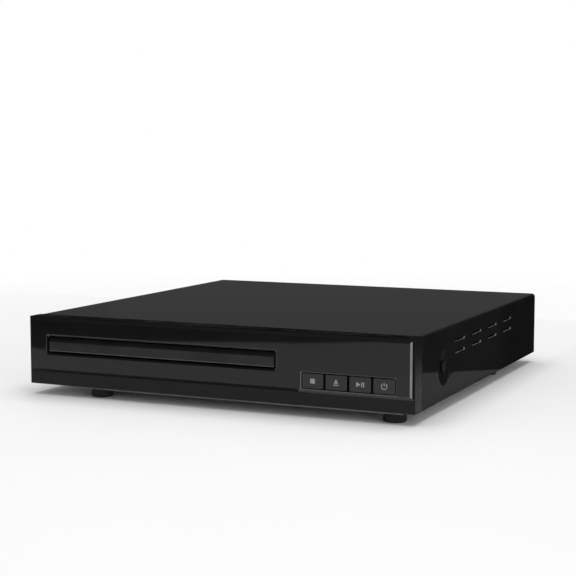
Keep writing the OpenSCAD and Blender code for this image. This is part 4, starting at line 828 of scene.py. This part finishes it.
def cover_zone(face):
    """The zone of a face of the cover. The side sheet's own faces lie just outside its X limits."""
    n, c = face.normal, case_place(face)
    in_sheet = SHEET_X[0] < abs(c.x) < SHEET_X[1] and abs(n.x) < 0.3
    if in_sheet and VENTS_Y[0] < c.y < VENTS_Y[1] and VENTS_Z[0] < c.z < VENTS_Z[1]:
        # Slot walls are bare steel with a painted glint, and those facing up a paler painted
        # highlight.
        return "lit" if n.z > 0.3 else "cut"
    near = math.hypot(c.y - DIMPLE_Y, c.z - DIMPLE_Z) < DIMPLE_RADIUS
    return "dimple" if abs(c.x) > 100 and near else "paint"


softened_piece("top_cover", "cover_sheet", "case", 0.12, "cover_black", COVER_FINISHES, cover_zone)
softened_piece("bottom_chassis", "pan_sheet", "case", 0.15, "chassis_steel")
softened_piece("rear_panel", "rear_sheet", "case", 0.1, "chassis_steel")

# %% [markdown]
# ## The tray door
# The door is a long bar that closes the slot. Its front leans back at the top as a wide bevel, whose
# darker colour is painted shade under the slot's top, and a thin bevel runs along the bottom. That
# bevel and the left end carry a painted highlight. Six points give its outline seen from the end,
# which is pulled out to the door's width, and then the edges are rounded.

# %% Tray door
DOOR_LEFT, DOOR_WIDTH = -99.0, 136.0
DOOR_OUTLINE = [(0.3, 19.2), (0.8, 18.7), (3.3, 18.7), (3.3, 26.3), (2.28, 26.3), (0.3, 24.1)]
# The line finish is a painted highlight, and the top's darker colour is painted shade.
DOOR_FINISHES = {"bar": gloss["door"], "line": bevels["door"], "top": door_top_painted_shade}


def door_zone(face):
    """A door face's zone: bar, lower and left edges in painted highlight, top in painted shade."""
    n = face.normal
    if not -0.97 < n.y < -0.2:
        return "bar"
    return "line" if n.z < -0.3 or n.x < -0.3 else "top"


door = bmesh.new()
door_end = door.faces.new([door.verts.new((DOOR_LEFT, y, z)) for y, z in DOOR_OUTLINE])
pull(door, [door_end], (DOOR_WIDTH, 0, 0))
bmesh.ops.recalc_face_normals(door, faces=door.faces)
round_edges(door, door.edges[:], 0.14, 3)
new_piece(door, "tray_door_bar", "tray", "front_gloss", "tray_door", DOOR_FINISHES, door_zone)

# %% [markdown]
# ## The keys
# Each key is a small satin block with rounded corners that stands in the window. Behind it are a
# flange, which stops it from falling out, and a round stem that reaches its switch plunger. A cube
# is stretched to the key's size, its four long edges get the corner radius, and then the front rim
# gets a finer one. One function makes all four keys.

# %% Keys
KEY_X = {"stop": 58.5, "eject": 71.3, "play_pause": 84.1, "power": 96.9}
KEY_Z, KEY_WIDE, KEY_TALL, KEY_FRONT, KEY_BACK = 13.2, 11.5, 7.7, 0.4, 4.6
FLANGE_SIDE, FLANGE_Y, FLANGE_Z = 6.15, (4.2, 5.0), (8.35, 18.15)
STEM_Y, STEM_RADIUS, STEM_LONG = 5.9, 1.5, 2.38


def block(shape, low, high):
    """Adds a box between two corners to a bmesh and gives back its vertices."""
    middle, size = (Vector(low) + Vector(high)) / 2, Vector(high) - Vector(low)
    matrix = Matrix.Translation(middle) @ Matrix.Diagonal((*size, 1))
    return bmesh.ops.create_cube(shape, size=1, matrix=matrix)["verts"]


def key_shape(x):
    """A key with its flange and its stem, with its middle at x."""
    key = bmesh.new()
    wide, tall = KEY_WIDE / 2, KEY_TALL / 2
    block(key, (x - wide, KEY_FRONT, KEY_Z - tall), (x + wide, KEY_BACK, KEY_Z + tall))
    long_edges = [e for e in key.edges if abs((e.verts[0].co - e.verts[1].co).y) > 1]
    round_edges(key, long_edges, 0.8, 6)
    rim = [e for e in key.edges if all(v.co.y < KEY_FRONT + 0.01 for v in e.verts)]
    round_edges(key, rim, 0.22, 3)
    low, high = zip((x - FLANGE_SIDE, x + FLANGE_SIDE), FLANGE_Y, FLANGE_Z)
    flange = block(key, low, high)
    edges = [e for e in key.edges if e.verts[0] in flange and e.verts[1] in flange]
    round_edges(key, edges, 0.15, 2)
    lying = Matrix.Translation((x, STEM_Y, KEY_Z)) @ Matrix.Rotation(math.radians(90), 4, "X")
    bmesh.ops.create_cone(
        key, cap_ends=True, segments=32, radius1=STEM_RADIUS, radius2=STEM_RADIUS, depth=STEM_LONG,
        matrix=lying,
    )
    return key


for name, x in KEY_X.items():
    body = "key_" + name
    new_piece(key_shape(x), body + "_cap", body, "key_satin", "button_" + name)

# %% [markdown]
# ## The marks on the keys
# The marks are pad printed in light grey, a few hundredths of a millimetre thick. They are the usual
# signs for stop, eject, play and pause, and power. A triangle is a circle with three sides, and the
# open ring of the power sign is a small rectangle swept four fifths of the way round.

# %% The print and its shapes
MARK_BACK, MARK_FRONT = 0.42, 0.36
RING_RADII, RING_START, RING_SWEEP = (1.25, 1.68), -125, -290
print_grey = Finish("key_print_finish", Specular_IOR_Level=0.3)
print_cloud = print_grey.noise(900, 2)
print_grey.tint(print_cloud, (0.24, 0.24, 0.25), (0.36, 0.36, 0.37))
print_grey.paint("Roughness", 0.5 + 0.15 * print_cloud)
print_grey.dent(print_cloud, 0.000003)


def bar(shape, x, z, wide, tall):
    """A flat bar on the key's face."""
    block(shape, (x - wide / 2, MARK_FRONT, z - tall / 2), (x + wide / 2, MARK_BACK, z + tall / 2))


def triangle(shape, x, z, size, turn):
    """A flat triangle on the key's face, pointing up when the turn is 0."""
    upright = Matrix.Translation((x, MARK_BACK, z)) @ Matrix.Rotation(math.radians(90), 4, "X")
    matrix = upright @ Matrix.Rotation(turn, 4, "Z")
    made = bmesh.ops.create_circle(shape, cap_ends=True, segments=3, radius=size, matrix=matrix)
    pull(shape, made["verts"][0].link_faces[:], (0, MARK_FRONT - MARK_BACK, 0))


def open_ring(shape, x, z):
    """A flat ring on the key's face with a gap at its top."""
    inner, outer = RING_RADII
    corners = ((inner, MARK_BACK), (inner, MARK_FRONT), (outer, MARK_FRONT), (outer, MARK_BACK))
    small = [shape.verts.new((x + r, y, z)) for r, y in corners]
    section = shape.faces.new(small)
    turn = Matrix.Rotation(math.radians(RING_START), 4, "Y")
    matrix = Matrix.Translation((x, 0, z)) @ turn @ Matrix.Translation((-x, 0, -z))
    bmesh.ops.transform(shape, matrix=matrix, verts=small)
    sweep = math.radians(RING_SWEEP)
    bmesh.ops.spin(shape, geom=[section], cent=(x, 0, z), axis=(0, 1, 0), angle=sweep, steps=40)


print("the print stands", round(KEY_FRONT - MARK_FRONT, 2), "mm proud of the key")

# %% [markdown]
# Each mark rides with its key, or it would float in the window when the key goes in.

# %% Printed marks
marks = {name: bmesh.new() for name in KEY_X}
stop_x, eject_x, play_x, power_x = KEY_X.values()
bar(marks["stop"], stop_x, KEY_Z, 2.5, 2.5)
triangle(marks["eject"], eject_x, KEY_Z + 0.35, 1.45, 0)
bar(marks["eject"], eject_x, KEY_Z - 1.2, 2.9, 0.5)
triangle(marks["play_pause"], play_x - 1.2, KEY_Z, 1.5, math.radians(-90))
for right in (1.0, 2.0):
    bar(marks["play_pause"], play_x + right, KEY_Z, 0.5, 2.5)
bar(marks["power"], power_x, KEY_Z + 0.95, 0.45, 1.7)
open_ring(marks["power"], power_x, KEY_Z)
for name, mark in marks.items():
    bmesh.ops.recalc_face_normals(mark, faces=mark.faces)
    finishes = {"print": print_grey.material}
    new_piece(mark, "mark_" + name, "key_" + name, "key_satin", finishes=finishes)

# %% [markdown]
# ## The feet
# The feet are soft rubber pushed into the pan. Each is a body of revolution, so half of its outline
# is spun round: a shallow hollow, a rounded rim that grips the shelf, a slightly tapered side, and
# the spigot that holds it in its hole.

# %% Rubber feet
FOOT_OUTLINE = [
    (0, -5.4), (3.0, -5.4), (3.5, -5.6), (3.9, -6.0), (5.3, -6.0), (5.75, -5.8), (5.98, -5.3),
    (5.98, -4.6), (5.85, -1.9), (5.7, -1.5), (1.9, -1.5), (1.9, -0.15), (0, -0.15),
]
FEET = {
    "front_left": (-72.5, 12), "front_right": (98.5, 12),
    "rear_left": (-72.5, 172), "rear_right": (98.5, 172),
}


def turned(outline, centre, axis):
    """Spins an outline of (radius, height) points round an axis through the centre."""
    shape = bmesh.new()
    places = [Vector(centre) + Vector((1, 0, 0)) * r + Vector(axis) * h for r, h in outline]
    points = [shape.verts.new(place) for place in places]
    geom = points + [shape.edges.new(pair) for pair in zip(points, points[1:])]
    whole = 2 * math.pi
    bmesh.ops.spin(shape, geom=geom, cent=centre, axis=axis, angle=whole, steps=48, use_merge=True)
    bmesh.ops.remove_doubles(shape, verts=shape.verts, dist=0.0005)
    bmesh.ops.recalc_face_normals(shape, faces=shape.faces)
    return shape


for name, (x, y) in FEET.items():
    foot = turned(FOOT_OUTLINE, (x, y, 0), (0, 0, 1))
    new_piece(foot, "rubber_foot_" + name, "case", "foot_rubber", "foot_" + name)

# %% [markdown]
# ## The round sockets at the rear
# Each socket is a thin nickel shell round a coloured ring, with a hole in the middle for the plug's
# pin. The rolled lip of the shell and the countersunk hole make it read as a socket, so both are in
# the outlines that are spun. The ring's colour tells which signal it carries: yellow for the
# picture, white and red for the sound, orange for digital sound.

# %% Socket shells and rings
SOCKET_X = {"yellow": -29.5, "white": -16.5, "red": -3.5, "orange": 9.5}
SOCKET_Z = 14.6
SHELL_OUTLINE = [
    (3.5, 227.4), (3.93, 227.4), (3.93, 232.0), (4.13, 232.2), (4.13, 238.6), (4.02, 238.75),
    (4.13, 238.9), (4.13, 239.7), (4.0, 239.95), (3.75, 239.95), (3.52, 239.7), (3.5, 239.2),
    (3.5, 227.4),
]
RING_OUTLINE = [
    (0, 227.4), (3.46, 227.4), (3.46, 239.1), (3.3, 239.35), (2.2, 239.35), (1.75, 238.9),
    (1.72, 228.4), (0, 228.4),
]
shells = bmesh.new()
for x in SOCKET_X.values():
    gather(shells, turned(SHELL_OUTLINE, (x, 0, SOCKET_Z), (0, 1, 0)))
new_piece(shells, "socket_shells", "case", "jack_metal", "jack_shells")
for name, x in SOCKET_X.items():
    ring = turned(RING_OUTLINE, (x, 0, SOCKET_Z), (0, 1, 0))
    finishes = {"dyed": rings[name]}
    new_piece(ring, "socket_ring_" + name, "case", "jack_insert", "jack_inserts", finishes)

# %% [markdown]
# ## The rest of the rear, and the tray
# The socket block, the mains inlet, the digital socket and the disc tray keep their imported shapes.
# They are moulded or pressed with rounder edges than a cut sheet has.

# %% Softened fittings and tray
softened_piece("av_jack_body", "socket_block", "case", 0.2, "inlet_plastic")
softened_piece("mains_inlet", "mains_inlet_moulding", "case", 0.22, "inlet_plastic")
softened_piece("digital_socket", "digital_socket_can", "case", 0.12, "jack_metal")
softened_piece("disc_tray", "disc_tray_moulding", "tray", 0.18, "tray_plastic")

# %% [markdown]
# ## The components on the boards
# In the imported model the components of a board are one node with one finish. On a real board each
# kind looks different: capacitors are cans in a dark sleeve with a bare top, the transformer has
# yellow tape round its middle, the heat sink is bare aluminium, the fuse is ceramic, and the filter
# capacitor is a mustard box. The solids are told apart by their sizes.

# %% Finishes and solids of the components
PART_FINISHES = {
    "chip": plastics["chip"],
    "sleeve": satin_plastic("sleeve", (0.016, 0.022, 0.045), 0.3, 1800, 3e-6, coat=0.3),
    "aluminium": bare_metal("aluminium", (0.78, 0.78, 0.79), 0.34, 0.1, (1, 1, 9), 0.15),
    "tape": satin_plastic("tape", (0.70, 0.47, 0.05), 0.35, 900, 4e-6, coat=0.2, lift=1.1),
    "ceramic": satin_plastic("ceramic", (0.60, 0.55, 0.45), 0.5, 1500, 4e-6, lift=1.15),
    "mustard": satin_plastic("mustard_box", (0.52, 0.34, 0.05), 0.4, 1500, 3e-6, 0.15, lift=1.15),
}


def solids_of(shape):
    """The separate solids of a bmesh, each as a list of its faces."""
    left, solids = set(shape.faces), []
    for first in shape.faces:
        if first in left:
            left.remove(first)
            solid = [first]
            for face in solid:
                near = {other for e in face.edges for other in e.link_faces} & left
                left -= near
                solid.extend(near)
            solids.append(solid)
    return solids


def box_of(faces):
    """The lowest corner of some faces and the size of their box, in millimetres."""
    columns = list(zip(*(v.co / MM for face in faces for v in face.verts)))
    low, high = (Vector([pick(column) for column in columns]) for pick in (min, max))
    return low, high - low


print("component finishes:", list(PART_FINISHES))

# %% [markdown]
# A can is as wide as it is deep, a chip is low, the heat sink is the longest, the transformer comes
# next, and the fuse is deeper than the box. The tape takes the middle of the transformer, so its walls
# are cut at two heights first.


# %% Dress the components
TAPE_CUTS = {"power_parts": (3.4, 13.6), "main_chips": ()}


def component_zone(size, height, up):
    """The finish of a face, from its solid's size in mm, its height in it and its upward tilt."""
    if abs(size.x - size.y) < 0.4 and size.z > 5:
        return "aluminium" if up > 0.9 else "sleeve"
    if size.z < 7 and size.y < 15 or size.z < 4:
        return "chip"
    if size.x > 25 and size.z > 15:
        return "aluminium"
    if size.x > 20:
        return "tape" if 0.2 < height < 0.8 else "chip"
    return "ceramic" if size.y > 17 else "mustard"


for node, cuts in TAPE_CUTS.items():
    components, zones = softened(node, 0.2), {}
    foot_z = min(v.co.z for v in components.verts)
    for height in cuts:
        cut_across(components, (0, 0, foot_z + height * MM), (0, 0, 1))
    components.normal_update()
    solids = solids_of(components)
    for solid in solids:
        low, size = box_of(solid)
        for face in solid:
            height = (face.calc_center_median().z / MM - low.z) / size.z
            zones[face] = component_zone(size, height, face.normal.z)
    print("solids of", node + ":", len(solids))
    name = node + "_dressed"
    new_piece(components, name, "case", "chip", node, PART_FINISHES, zones.get, in_mm=False)

# %% [markdown]
# ## The view transform
# The scene shows its colours through the plain Standard view transform.

# %% Set the view transform
bpy.context.scene.view_settings.view_transform = "Standard"
